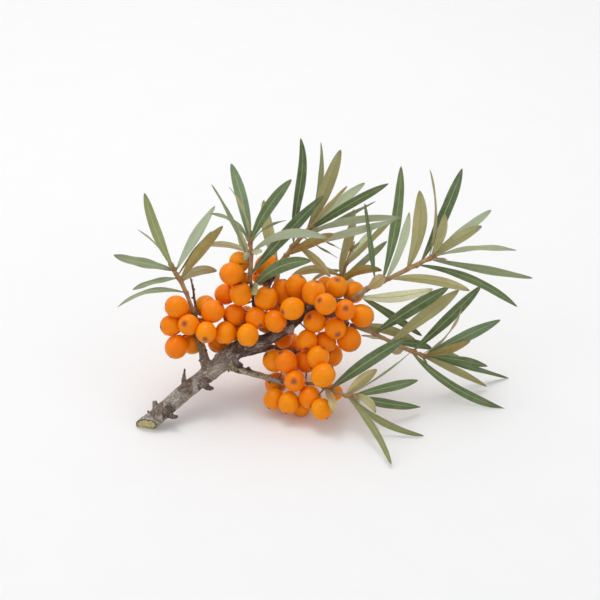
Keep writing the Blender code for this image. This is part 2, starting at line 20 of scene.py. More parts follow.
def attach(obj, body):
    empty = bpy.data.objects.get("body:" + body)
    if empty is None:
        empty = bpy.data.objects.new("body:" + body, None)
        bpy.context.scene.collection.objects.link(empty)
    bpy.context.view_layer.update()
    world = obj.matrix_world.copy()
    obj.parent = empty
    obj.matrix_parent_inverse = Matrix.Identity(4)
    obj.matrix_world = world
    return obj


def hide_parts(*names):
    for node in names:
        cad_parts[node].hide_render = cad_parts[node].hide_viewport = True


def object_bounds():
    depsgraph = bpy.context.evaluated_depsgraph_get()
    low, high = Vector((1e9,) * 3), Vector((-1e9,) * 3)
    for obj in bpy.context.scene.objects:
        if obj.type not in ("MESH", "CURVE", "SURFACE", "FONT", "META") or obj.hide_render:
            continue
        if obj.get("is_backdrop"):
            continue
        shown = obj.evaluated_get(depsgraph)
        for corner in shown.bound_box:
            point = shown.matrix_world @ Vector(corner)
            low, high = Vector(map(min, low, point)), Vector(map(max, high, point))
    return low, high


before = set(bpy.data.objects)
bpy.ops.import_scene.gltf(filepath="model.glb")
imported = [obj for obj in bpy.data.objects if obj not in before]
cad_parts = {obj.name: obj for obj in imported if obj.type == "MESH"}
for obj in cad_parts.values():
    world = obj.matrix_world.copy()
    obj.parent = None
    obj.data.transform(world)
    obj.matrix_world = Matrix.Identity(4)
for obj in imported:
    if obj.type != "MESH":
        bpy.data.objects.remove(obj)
CAD_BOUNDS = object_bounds()
BODY = "root"
LOG = logging.getLogger("sprig")

# Driving sizes, in metres
MM = 0.001
BERRY_ACROSS = 9.8 * MM
BERRY_LENGTH_RATIO = 1.1
BERRY_ROUNDNESS = 1.03
PICTURE_POINT = 0.45 * MM
EYE_DISTANCE = 0.9
VIEW_TILT = math.radians(30)
NODE_GAP = 0.35 * MM
BERRY_PRESS = 1.1 * MM
SURFACE_PRESS = 0.3 * MM
SETTLING_ROUNDS = 80
FINE_STEPS = 8
# The lowest that any skin reaches over the surface that the sprig lies on
SURFACE_SKIN = 0.05 * MM

# The picture's middle, and the row where the picture plane meets the surface
PICTURE_POINTS = 600
MIDDLE_COLUMN = 300
MIDDLE_ROW = 300
SURFACE_ROW = 430
# Where the layout's own zero lies in the frame, whose origin is under the sprig's middle
LAYOUT_ZERO = Vector((-10.9 * MM, -26.3 * MM, 0))

ACROSS = Vector((1, 0, 0))
UPWARD = Vector((0, math.sin(VIEW_TILT), math.cos(VIEW_TILT)))
TOWARD = Vector((0, -math.cos(VIEW_TILT), math.sin(VIEW_TILT)))
# The way that the cut face at the foot of the trunk looks, aslant to the trunk
CUT_FACING = (-0.25 * ACROSS - 0.75 * UPWARD + 0.61 * TOWARD).normalized()

# The outline and the fold of a blade, as in the solids
BLADE_FOLD = 0.16
BLADE_ROOT_WIDTH = 0.24
BLADE_ROOT_END = 0.14
BLADE_FULLNESS = 0.6
BLADE_SHIFT = 1.25
# The real breadth of a blade over the breadth in the layout, where most are seen aslant
BLADE_BREADTH = 1.1
BEZIER_REACH = 0.75

# The points round a bud, the rings along it, and its length over its greatest radius
BUD_SIDES = 10
BUD_RINGS = 9
BUD_LENGTH_RATIO = 3

Colour = tuple[float, float, float]
Place = tuple[float, float, float]
Row = tuple[float, float, float, float]
Pick = Callable[[int, int], tuple[float, float, float]]


def paint(red: float, green: float, blue: float) -> Colour:
    """A linear colour from the 0 to 255 values that a screen shows.

    Args:
        red: The screen's red.
        green: The screen's green.
        blue: The screen's blue.

    Returns:
        The linear colour.
    """

    def linear(value: float) -> float:
        """One channel made linear."""
        share = value / 255
        return share / 12.92 if share <= 0.04045 else ((share + 0.055) / 1.055) ** 2.4

    return linear(red), linear(green), linear(blue)


def blended(a: Colour, b: Colour, share: float) -> Colour:
    """The colour that lies that share of the way from one to the other."""
    return tuple(x + (y - x) * share for x, y in zip(a, b))


def shaded(colour: Colour, factor: float) -> Colour:
    """A colour made that much brighter or darker."""
    return tuple(channel * factor for channel in colour)


def turns(sides: int) -> list[float]:
    """The angles of that many even steps round a circle."""
    return [2 * math.pi * k / sides for k in range(sides)]


def spoke(angle: float, side: Vector, other: Vector) -> Vector:
    """The unit vector at an angle from one side towards the other."""
    return math.cos(angle) * side + math.sin(angle) * other


def placed(name: str, data: bpy.types.ID) -> bpy.types.Object:
    """Puts a new object into the scene.

    Args:
        name: The object's name.
        data: The mesh, the light or the camera that it holds.

    Returns:
        The new object.
    """
    made = bpy.data.objects.new(name, data)
    bpy.context.scene.collection.objects.link(made)
    return made


def dress(mesh: bpy.types.Mesh, tones: Sequence[float], spots: Sequence[float]) -> None:
    """Writes the tone and the spot of each of a mesh's points into its attributes.

    Args:
        mesh: The mesh.
        tones: The red, green, blue and alpha of each point in turn.
        spots: The three numbers of each point's spot in turn.
    """
    mesh.attributes.new("tone", "FLOAT_COLOR", "POINT").data.foreach_set("color", tones)
    mesh.attributes.new("spot", "FLOAT_VECTOR", "POINT").data.foreach_set("vector", spots)


class Tone(Enum):
    """A leaf's colours: its upper face, then its underside; the bronze tone is an ochre underside darkened
    with painted shade.
    """

    DEEP = (paint(72, 98, 44), paint(162, 162, 108))
    GREEN = (paint(94, 118, 64), paint(172, 174, 116))
    BLUE = (paint(108, 132, 92), paint(176, 182, 134))
    GREY = (paint(152, 164, 122), paint(188, 190, 142))
    SILVER = (paint(192, 204, 172), paint(204, 206, 166))
    OLIVE = (paint(144, 148, 88), paint(178, 174, 116))
    KHAKI = (paint(180, 168, 116), paint(200, 184, 128))
    # Bronze-ochre leaf colour: partly the leaf's own colour, partly painted shade on an underside.
    SHADED_BRONZE = (paint(148, 128, 52), paint(162, 138, 58))
    PALE = (paint(206, 212, 172), paint(212, 214, 174))


class Leaf(NamedTuple):
    """A blade from station `at` of its stem to a tip: its width and bends are in picture points."""

    at: float
    tip: tuple[float, float]
    out: float
    width: float
    roll: float
    tone: Tone
    bow: float = 0
    sway: float = 0
    twist: float = 0


class Berry(NamedTuple):
    """A berry whose nose points along `nose` degrees in the picture and `face` degrees out of it."""

    column: float
    row: float
    nose: float
    face: float = 20
    scale: float = 1


class Bunch(NamedTuple):
    """The limbs and stems that a bunch sits on, others that it keeps off, and its berries."""

    twigs: tuple[str, ...]
    others: tuple[str, ...]
    berries: list[Berry]


# Woody limbs: column, row, millimetres in front of the picture plane, radius in millimetres.
# The young stems and the bunches follow, laid out the same way.
LIMBS = {
    "trunk": [
        (146.5, 424.5, 0.3, 3.9), (160, 413.5, 0, 3.9), (172, 403, -2.5, 3.7), (186, 391, -4.5, 3.8),
        (200, 380, -6, 3.7), (213, 370, -7.5, 3.9), (225, 360, -9, 4.3), (238, 349, -10, 4.1),
        (252, 343.5, -10, 3.2), (268, 339, -9, 2.8), (282, 331, -8.5, 2.6), (295, 321, -8, 2.5),
        (307, 309, -8, 2.2), (322, 302, -7, 1.9), (338, 302.5, -5, 1.7), (350, 300.5, -4, 1.5),
    ],
    "left_twig": [
        (211, 373, -7.5, 3.2), (205, 361, -7, 2.4), (202, 348, -6.5, 1.8), (197.5, 335, -6, 1.5),
        (195, 323, -5.5, 1.3), (194, 313.5, -5, 1.1),
    ],
    "bare_twig": [
        (196, 327, -5.8, 0.9), (196, 312, -8, 0.75), (194.3, 298, -9, 0.65), (192.8, 287, -9, 0.6),
        (189.3, 274, -9, 0.35),
    ],
    "centre_limb": [
        (238, 350, -10, 3.4), (247, 336, -9.5, 2.6), (255, 318, -9, 2.1), (260, 303, -9.5, 1.9),
        (267, 286, -12, 1.7), (276.5, 268.7, -13, 1.4),
    ],
    "centre_twig": [
        (256, 315, -8.5, 1.6), (254.5, 303, -7, 1.3), (253, 291.5, -5, 1.1),
    ],
    "back_twig": [
        (322, 303, -7.5, 1.5), (330, 297, -11.5, 1.2), (336, 290.5, -14, 0.9),
    ],
    "lower_twig": [
        (316, 304, -7.5, 1.8), (329, 312, -8, 1.5), (341, 320.5, -8.5, 1.3), (349, 324.6, -9, 1.2),
    ],
    "rear_twig": [
        (238, 352, -11, 2.9), (250, 351, -14, 2.2), (264, 348.5, -19, 1.8), (277, 348, -25, 1.5),
        (287, 350, -31, 1.3), (296, 352, -36, 1),
    ],
    "bottom_twig": [
        (226, 363, -9.5, 2.6), (236, 368.5, -9.5, 1.9), (248, 372, -9, 1.6), (262, 376, -8, 1.5),
        (278, 381, -8, 1.4), (293, 384, -7, 1.2), (305, 383, -5.3, 0.9),
    ],
    "thorn": [
        (186, 391, -3.5, 2.4), (184.5, 385, -2.5, 1.6), (184, 377.5, -2, 1), (184.5, 371, -2, 0.5),
    ],
    "upper_knob": [
        (158, 414, 1, 2.4), (155.5, 406, 1, 1.5), (154.5, 401, 1, 1),
    ],
    "cut_spur": [
        (165, 410, 0, 2.2), (170, 415, 1.5, 1.6), (174.5, 416.8, 2.5, 1), (178, 416.2, 3, 0.75),
    ],
    "under_spur": [
        (202, 382, -5, 2.2), (207, 387, -3.5, 1.5), (210.5, 388.3, -3, 1.1), (213.6, 388, -2.5, 0.7),
    ],
    "fork_knob": [
        (240, 366, -9, 1.7), (238.5, 362, -8, 0.7),
    ],
    "twig_knob": [
        (249, 372, -9, 1.3), (248.5, 366.5, -9, 0.6),
    ],
    "middle_spur": [
        (288, 325, -7, 1.6), (286.5, 317, -3, 0.9), (285.8, 311.5, 0.5, 0.5),
    ],
    "middle_knot": [
        (290, 328, -7, 2.1), (291, 333.5, -4.5, 1.4),
    ],
}

STEMS = {
    "left_shoot": [
        (193.8, 312.7, -5, 1), (189, 300, -4, 1), (183, 286, -3, 1.1), (174, 270, -2, 0.8),
    ],
    "centre_shoot": [
        (252.8, 290.6, -4.8, 1), (250, 277, -1, 1), (251, 260, 2, 1.1), (250, 243, 4, 0.8),
    ],
    "upper_shoot": [
        (277, 267.7, -13, 1.3), (285, 257, -13, 1.2), (297, 242, -12, 1.1), (309, 229, -11, 0.8),
    ],
    "back_shoot": [
        (336.4, 289.6, -14.2, 0.8), (341, 280, -17, 0.8), (345, 268, -18, 0.8), (351, 250, -19, 0.5),
    ],
    "right_upper_shoot": [
        (352.3, 299.3, -3.9, 1.4), (369, 288, -3, 1.3), (392, 277, -2, 1.1), (416, 265, 0, 1.2),
        (433, 257, 2, 0.8),
    ],
    "right_lower_shoot": [
        (350, 325.1, -9.1, 1.1), (371, 332, -11, 1.1), (389, 341, -13, 1), (409, 350, -15, 1.1),
        (423, 356, -17, 0.8),
    ],
    "bottom_shoot": [
        (306, 383, -5, 0.8), (318, 385, -2, 0.8), (332, 391, 1, 0.9), (345, 395, 4, 0.9),
        (353, 395.5, 6, 0.7),
    ],
}

LEAVES = {
    "left_shoot": [
        Leaf(1, (144.5, 193), -8, 10, 20, Tone.OLIVE, bow=3),
        Leaf(0.97, (113.5, 255), 8, 9.5, 25, Tone.GREY, sway=-2),
        Leaf(0.9, (137.5, 229.5), -16, 8, 80, Tone.OLIVE, bow=-4),
        Leaf(0.95, (215, 206), -6, 9.5, -20, Tone.SILVER, bow=1),
        Leaf(0.75, (223, 226), 6, 9.5, 190, Tone.SHADED_BRONZE, bow=2),
        Leaf(0.85, (212, 231), -18, 6, 60, Tone.OLIVE, bow=2),
        Leaf(0.7, (217, 271), -12, 9, 170, Tone.GREY, bow=6),
        Leaf(0.8, (132.5, 290), 4, 7, 40, Tone.GREY, bow=-2.5),
        Leaf(0.45, (117.5, 307.5), 10, 7, 30, Tone.GREY, bow=-9, twist=35),
    ],
    "centre_shoot": [
        Leaf(1, (231, 163.5), -4, 11, -10, Tone.BLUE, bow=-2.5),
        Leaf(0.98, (229, 187), 9, 7, 72, Tone.KHAKI, bow=-5),
        Leaf(0.5, (211.3, 184.3), 10, 7, 62, Tone.GREY, bow=-3),
        Leaf(0.95, (210, 213.5), -4, 7, 55, Tone.GREY, bow=-8),
        Leaf(0.7, (239, 228), -14, 7, 200, Tone.OLIVE, bow=2),
        Leaf(1, (291.7, 179.3), 2, 10.5, 12, Tone.GREEN, bow=4),
        Leaf(0.95, (286.4, 220.4), 9, 6, 75, Tone.GREY, bow=6),
        Leaf(0.35, (323.7, 195.5), 16, 11, 8, Tone.DEEP, bow=1.5),
        Leaf(0.8, (327.8, 238.6), 22, 9, 25, Tone.SILVER, bow=12),
        Leaf(0.05, (311.3, 260.9), 14, 12, 5, Tone.GREEN, bow=8),
        Leaf(0.1, (258, 291.5), 15, 12, 20, Tone.GREY),
        Leaf(0.8, (243, 258), 14, 7, 150, Tone.PALE),
        Leaf(0.85, (262, 252), 12, 6.5, 150, Tone.PALE),
        Leaf(0.78, (206, 246), -16, 6.5, 150, Tone.PALE, bow=-5),
    ],
    "upper_shoot": [
        Leaf(0.55, (300.5, 138), -6, 9, 30, Tone.DEEP, bow=-2, sway=6, twist=-35),
        Leaf(0.9, (320.8, 142), -20, 7, 50, Tone.OLIVE, bow=-6),
        Leaf(1, (340.7, 149.5), 0, 12, 188, Tone.OLIVE, bow=-1),
        Leaf(0.97, (347.4, 185.9), 4, 8, 240, Tone.KHAKI),
        Leaf(0.95, (365, 182.8), -10, 10, -25, Tone.SILVER, bow=1),
        Leaf(0.9, (388.5, 183.6), -4, 9, 20, Tone.GREEN, bow=2),
        Leaf(0.85, (401.8, 218), 4, 8, 30, Tone.SILVER, bow=6),
        Leaf(0.5, (396, 220), 8, 8, 25, Tone.SILVER),
        Leaf(0.3, (333, 233.5), 10, 9, 190, Tone.SHADED_BRONZE, bow=1),
        Leaf(0.6, (330.4, 277), -8, 8, 200, Tone.OLIVE, bow=2),
        Leaf(0.9, (342, 250), -22, 5, 80, Tone.OLIVE, bow=1),
        Leaf(0.8, (338, 258), -28, 5, 75, Tone.OLIVE),
        Leaf(0.03, (263.6, 200), -20, 11, 185, Tone.OLIVE, bow=2),
        Leaf(0.3, (277, 287), -24, 7, 160, Tone.PALE, bow=-4),
        Leaf(0.7, (375.8, 201.2), -20, 7, 60, Tone.GREY),
    ],
    "back_shoot": [
        Leaf(0.3, (353.4, 209.4), -12, 9, 200, Tone.OLIVE, sway=5),
        Leaf(0.6, (396.7, 213.5), -24, 7, 215, Tone.OLIVE),
        Leaf(0.65, (372, 230), -32, 8, -30, Tone.PALE),
        Leaf(0.25, (387, 241), -10, 8, 35, Tone.GREY),
        Leaf(0.1, (382, 270.5), -8, 8.5, 190, Tone.SHADED_BRONZE, bow=8),
        Leaf(0.5, (311.5, 281), -24, 6, 230, Tone.OLIVE, bow=-4),
        Leaf(0.35, (291, 276.5), -16, 8, 190, Tone.OLIVE, bow=-8),
        Leaf(0.4, (357, 287), -30, 8, 150, Tone.PALE),
    ],
    "right_upper_shoot": [
        Leaf(0.38, (401, 166), -8, 10, 12, Tone.GREEN, bow=-4),
        Leaf(0.42, (409.4, 212), 4, 9, -35, Tone.SILVER, bow=-4),
        Leaf(0.68, (419.4, 190.5), 8, 13, 205, Tone.OLIVE, bow=-6, twist=-30),
        Leaf(0.95, (429.8, 169.5), 8, 7, 65, Tone.KHAKI, bow=-6),
        Leaf(0.85, (462.3, 168.3), -10, 11, 10, Tone.DEEP, bow=-2),
        Leaf(0.97, (444.7, 213.4), 14, 8.5, 175, Tone.OLIVE, bow=-3),
        Leaf(1, (491.3, 210), -8, 9.5, 20, Tone.SILVER, bow=1),
        Leaf(0.98, (482, 226), 8, 10, 185, Tone.OLIVE, bow=2),
        Leaf(1, (516.6, 250.5), -4, 7, 45, Tone.PALE, bow=6),
        Leaf(0.95, (532.7, 278.2), -2, 8.5, 35, Tone.GREY),
        Leaf(0.8, (517.4, 306.8), 6, 8.5, 30, Tone.GREEN, bow=8),
        Leaf(0.45, (469.9, 290.7), 10, 9.5, 200, Tone.OLIVE, bow=5),
        Leaf(0.05, (433, 289), 4, 10, 165, Tone.PALE, bow=-4),
        Leaf(0.2, (385, 276), 9, 11, 170, Tone.KHAKI),
        Leaf(0.3, (364.6, 203.3), 8, 7.5, 50, Tone.GREEN),
        Leaf(0.08, (422, 336), -20, 8, 20, Tone.GREEN, bow=1),
    ],
    "right_lower_shoot": [
        Leaf(0.32, (449, 287), 4, 12, 8, Tone.DEEP, bow=1),
        Leaf(0.55, (459, 290), -2, 12, 188, Tone.OLIVE),
        Leaf(0.85, (481.4, 285.4), -8, 10.5, 8, Tone.DEEP, bow=-1),
        Leaf(0.97, (462.2, 305.7), 0, 7, 70, Tone.KHAKI, bow=-7),
        Leaf(1, (500.5, 319.8), -12, 10.5, 12, Tone.BLUE),
        Leaf(0.98, (470.5, 340.8), -8, 8.5, 150, Tone.SHADED_BRONZE, bow=-2),
        Leaf(1, (461.6, 357.4), -10, 6.5, 60, Tone.OLIVE, bow=4),
        Leaf(1, (487.7, 366.3), -24, 9, 30, Tone.GREEN, bow=2),
        Leaf(0.95, (508.8, 378.4), -38, 7.5, 50, Tone.GREEN, bow=1),
        Leaf(0.9, (487, 386.7), -28, 8, 215, Tone.OLIVE, bow=1),
        Leaf(0.82, (505, 409), -15.5, 9, 5, Tone.GREEN, bow=-8, twist=30),
        Leaf(0.03, (418, 343), -20, 9, 190, Tone.OLIVE, bow=5),
        Leaf(0.55, (361, 335.5), -20, 6, 60, Tone.PALE, bow=-1),
        Leaf(0.75, (392, 352.5), -24, 7, 200, Tone.PALE),
        Leaf(0.6, (432, 349), -24, 8, 15, Tone.GREEN, bow=3),
    ],
    "bottom_shoot": [
        Leaf(0.5, (406.7, 337.6), 8, 12, 8, Tone.DEEP, bow=2),
        Leaf(0.85, (377, 369.5), 0, 10, 190, Tone.KHAKI, bow=1),
        Leaf(0.9, (411.8, 351), -4, 6, 70, Tone.GREY, bow=-2),
        Leaf(1, (418.2, 380.3), -4, 9, 10, Tone.GREEN),
        Leaf(0.97, (420.8, 407), -10, 9.5, -10, Tone.GREEN, bow=-2, twist=60),
        Leaf(0.92, (424, 435.8), 5.5, 8, 35, Tone.OLIVE, bow=-7),
        Leaf(0.95, (375.5, 413), 12, 8, 150, Tone.OLIVE, bow=6),
        Leaf(0.85, (391.4, 464.5), 27.3, 7.5, 30, Tone.OLIVE, bow=5),
        Leaf(0.38, (332, 413), 14, 8, 160, Tone.KHAKI, bow=4),
    ],
}

BUNCHES = {
    "left_bunch": Bunch(
        ("left_twig", "left_shoot"),
        ("bare_twig", "trunk"),
        [
            Berry(205, 306.5, 60, -50), Berry(192, 343, 250, -50), Berry(199, 328, 0, -50),
            Berry(184, 316, 150, -50), Berry(171.5, 325.5, 190), Berry(177, 307, 165, 10, 1.03),
            Berry(176.7, 346.5, 240, 10, 1.07), Berry(213, 311.5, 40, 20, 1.04),
            Berry(206.5, 332, 265, 50, 0.95), Berry(188.7, 324.7, 160, 70, 0.98),
        ],
    ),
    "top_bunch": Bunch(
        ("centre_twig", "centre_shoot", "centre_limb"),
        (),
        [
            Berry(239.5, 262, 110, -80, 0.95), Berry(262, 275, 60, -50), Berry(238, 280, 150, -50),
            Berry(225.4, 294, 200, -50), Berry(266.8, 265.8, 35, 10, 1.08),
            Berry(241, 294, 95, 25, 1.03), Berry(231.8, 273.8, 180, 10, 1.04),
        ],
    ),
    "centre_bunch": Bunch(
        ("trunk", "centre_limb", "centre_twig", "upper_shoot"),
        ("middle_spur", "middle_knot"),
        [
            Berry(279, 305, 30, -50), Berry(246, 317, 120, -50), Berry(233, 330, 200, -50),
            Berry(266, 322, 300, -50), Berry(284, 297, 60, -50), Berry(296.3, 286, 60),
            Berry(282.5, 291.5, 80, 10, 1.08), Berry(292.5, 308.4, 200, 30, 1.04),
            Berry(217.7, 342, 240), Berry(226, 332.5, 265, 10), Berry(248.3, 334.6, 265, 10),
            Berry(275.3, 321, 320, 10), Berry(266, 298.8, 75, 20, 1.06), Berry(256.3, 318, 300, 40),
            Berry(234.6, 315, 205, 35, 1.04),
        ],
    ),
    "right_bunch": Bunch(
        ("trunk", "lower_twig", "back_twig", "right_upper_shoot", "right_lower_shoot"),
        ("back_shoot",),
        [
            Berry(325, 285.5, 80, -40, 0.8), Berry(353.7, 292.5, 40, -50), Berry(320, 313, 120, -50),
            Berry(340, 314, 20, -50), Berry(306, 297, 120, -50), Berry(332, 355.6, 260),
            Berry(325, 342.9, 300), Berry(348.6, 339, 300, 10, 1.12), Berry(313.5, 292.5, 70, 20, 1.05),
            Berry(337, 287.4, 90, 50), Berry(361.4, 315.5, 340, 10, 1.08), Berry(325.4, 304, 150, 50),
            Berry(345.2, 310, 80, 80, 0.97), Berry(335.2, 328.2, 290, 55), Berry(314.8, 321.6, 140, 50),
            Berry(307.2, 340.3, 265, 40, 0.98),
        ],
    ),
    "rear_bunch": Bunch(
        ("rear_twig",),
        ("trunk",),
        [
            Berry(283, 338.5, 120, 50, 0.94), Berry(291, 362, 260, -80), Berry(306, 361, 300, 10),
            Berry(302, 347, 80, -20), Berry(290, 343, 120, -50), Berry(279, 357, 200, 10),
        ],
    ),
    "bottom_bunch": Bunch(
        ("bottom_twig", "bottom_shoot"),
        ("twig_knob", "trunk"),
        [
            Berry(276, 383.5, 200, -50), Berry(274, 361, 140), Berry(318, 357, 60),
            Berry(334, 392.5, 340, -50, 0.8), Berry(301.4, 406, 265, -20, 0.9),
            Berry(321.8, 408.6, 300, 10, 0.95), Berry(274, 399, 240, 10, 0.95),
            Berry(306.5, 361.4, 90, 10), Berry(286, 361.4, 120, 25, 1.05),
            Berry(322.9, 374.8, 40, 10, 1.08), Berry(288.7, 402.2, 255, 10, 0.97),
            Berry(309.7, 397.3, 290, 40, 1.03), Berry(295, 381, 180, 85),
        ],
    ),
}

BUD_TONE = paint(192, 142, 88)
OLD_BUD_TONE = paint(104, 80, 64)
# The trunk's tone, the darker tone that the trunk turns to from its fork onwards, and the tone of each limb
# that is not as grey as the trunk
TRUNK_TONE = paint(208, 196, 183)
FORK_TONE = paint(112, 94, 80)
LIMB_TONES = {
    "left_twig": paint(172, 150, 128),
    "bare_twig": paint(158, 116, 86),
    "centre_limb": paint(84, 70, 60),
    "centre_twig": paint(130, 108, 90),
    "lower_twig": paint(168, 140, 110),
    "rear_twig": paint(122, 104, 88),
    "bottom_twig": paint(196, 180, 144),
    "thorn": paint(150, 118, 98),
    "upper_knob": paint(164, 144, 126),
    "cut_spur": paint(124, 104, 88),
    "under_spur": paint(132, 106, 88),
    "fork_knob": paint(82, 58, 46),
    "twig_knob": paint(98, 78, 60),
    "middle_spur": paint(66, 50, 44),
}


def sighted(column: float, row: float, out_mm: float) -> Vector:
    """The real place of a point of the layout.

    Args:
        column: The picture's column at which the point is seen.
        row: The picture's row at which the point is seen.
        out_mm: How many millimetres it lies in front of the picture plane.

    Returns:
        The point in the frame.
    """
    out = out_mm * MM
    reach = PICTURE_POINT * (1 - out / EYE_DISTANCE)
    middle_height = (SURFACE_ROW - MIDDLE_ROW) * PICTURE_POINT
    return (
        LAYOUT_ZERO
        + ACROSS * (column - MIDDLE_COLUMN) * reach
        + UPWARD * (middle_height + (MIDDLE_ROW - row) * reach)
        + TOWARD * out
    )


def between(a: Vector, b: Vector, c: Vector, d: Vector, t: float) -> Vector:
    """The Catmull-Rom curve from b to c."""
    bend = (2 * a - 5 * b + 4 * c - d) * t * t + (3 * b - a - 3 * c + d) * t**3
    return b + ((c - a) * t + bend) / 2


@dataclass
class Route:
    """A smooth line through the rows of a limb or stem, with a radius all along."""

    rows: Sequence[Row]
    steps: int = FINE_STEPS
    points: list[Vector] = field(default_factory=list)
    radii: list[float] = field(default_factory=list)

    def __post_init__(self) -> None:
        """Works out the line's points and radii."""
        places = [sighted(*row[:3]) for row in self.rows]
        radii = [row[3] * MM for row in self.rows]
        places = [2 * places[0] - places[1], *places, 2 * places[-1] - places[-2]]
        radii = [radii[0], *radii, radii[-1]]
        for i in range(1, len(places) - 2):
            for step in range(self.steps):
                t = step / self.steps
                self.points.append(between(*places[i - 1 : i + 3], t))
                self.radii.append(between(*radii[i - 1 : i + 3], t))
        self.points.append(places[-2])
        self.radii.append(radii[-2])

    def tangents(self) -> list[Vector]:
        """The unit tangent at each point."""
        last = len(self.points) - 1
        ends = [(max(i - 1, 0), min(i + 1, last)) for i in range(last + 1)]
        return [(self.points[b] - self.points[a]).normalized() for a, b in ends]

    def lengths(self) -> list[float]:
        """How far along the line each point lies."""
        along = [0.0]
        for a, b in zip(self.points, self.points[1:]):
            along.append(along[-1] + (b - a).length)
        return along

    def place_at(self, station: float) -> Vector:
        """The point at a share of the line's length.

        Args:
            station: The share, from 0 to 1.

        Returns:
            The point.
        """
        left = station * self.lengths()[-1]
        for start, end in zip(self.points, self.points[1:]):
            step = (end - start).length
            if left <= step:
                return start.lerp(end, left / step)
            left -= step
        return self.points[-1]

    def rings(self, sides: int, swell: Callable[[int, float], float]) -> list[list[Vector]]:
        """Rings of points round the line.

        Args:
            sides: How many points a ring has.
            swell: Gives the factor on the radius at a point of the line and an angle.

        Returns:
            The rings, from the line's start to its end.
        """
        tangents = self.tangents()
        side = tangents[0].cross(TOWARD).normalized()
        rings = []
        for i, (place, tangent, radius) in enumerate(zip(self.points, tangents, self.radii)):
            side = (side - tangent * side.dot(tangent)).normalized()
            other = tangent.cross(side)
            rings.append([
                place + radius * swell(i, angle) * spoke(angle, side, other) for angle in turns(sides)
            ])
        return rings


ROUTES = {name: Route(rows) for name, rows in {**LIMBS, **STEMS}.items()}


@dataclass
class Mould:
    """Gathers the points and faces of one piece, with a tone and a spot on the skin for each."""

    points: list[Vector] = field(default_factory=list)
    tones: list[Colour] = field(default_factory=list)
    spots: list[Place] = field(default_factory=list)
    faces: list[tuple[int, ...]] = field(default_factory=list)
    finishes: list[int] = field(default_factory=list)

    def skin(
        self,
        rings: Sequence[Sequence[Vector]],
        tone: Pick,
        spot: Pick,
        finish: Callable[[int], int] | None = None,
    ) -> None:
        """Lays a closed skin over rings of points.

        Args:
            rings: Rings with the same number of points, from one end to the other.
            tone: Gives a point's colour from its ring and its place in the ring.
            spot: Gives a point's spot on the skin the same way.
            finish: Gives a face's material number from its place in the ring.
        """
        first, count = len(self.points), len(rings[0])
        for i, ring in enumerate(rings):
            for k, point in enumerate(ring):
                self.points.append(Vector((point.x, point.y, max(point.z, SURFACE_SKIN))))
                self.tones.append(tone(i, k))
                self.spots.append(spot(i, k))
        for i in range(len(rings) - 1):
            for k in range(count):
                a, b = first + i * count + k, first + i * count + (k + 1) % count
                self.faces.append((a, b, b + count, a + count))
                self.finishes.append(finish(k) if finish else 0)
        last = len(self.points) - count
        self.faces.append(tuple(range(first + count - 1, first - 1, -1)))
        self.faces.append(tuple(range(last, last + count)))
        self.finishes += [0, 0]

    def make(self, name: str, materials: Sequence[bpy.types.Material]) -> bpy.types.Object:
        """Turns what was gathered into an object.

        Args:
            name: The piece's name.
            materials: The materials that the face numbers stand for.

        Returns:
            The new object, in the scene.
        """
        mesh = bpy.data.meshes.new(name)
        mesh.from_pydata(self.points, [], self.faces)
        tones = [c for colour in self.tones for c in (*colour, 1.0)]
        dress(mesh, tones, [c for place in self.spots for c in place])
        for material in materials:
            mesh.materials.append(material)
        mesh.polygons.foreach_set("material_index", self.finishes)
        bm = bmesh.new()
        bm.from_mesh(mesh)
        bmesh.ops.recalc_face_normals(bm, faces=bm.faces)
        bm.to_mesh(mesh)
        bm.free()
        mesh.shade_smooth()
        return placed(name, mesh)


def fit(piece: bpy.types.Object, node: str) -> None:
    """Makes a piece stand for a node of the frame.

    Args:
        piece: The finished piece.
        node: The node that it replaces.
    """
    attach(piece, BODY)
    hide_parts(node)
    LOG.info("%s stands for %s, with %d faces", piece.name, node, len(piece.data.polygons))


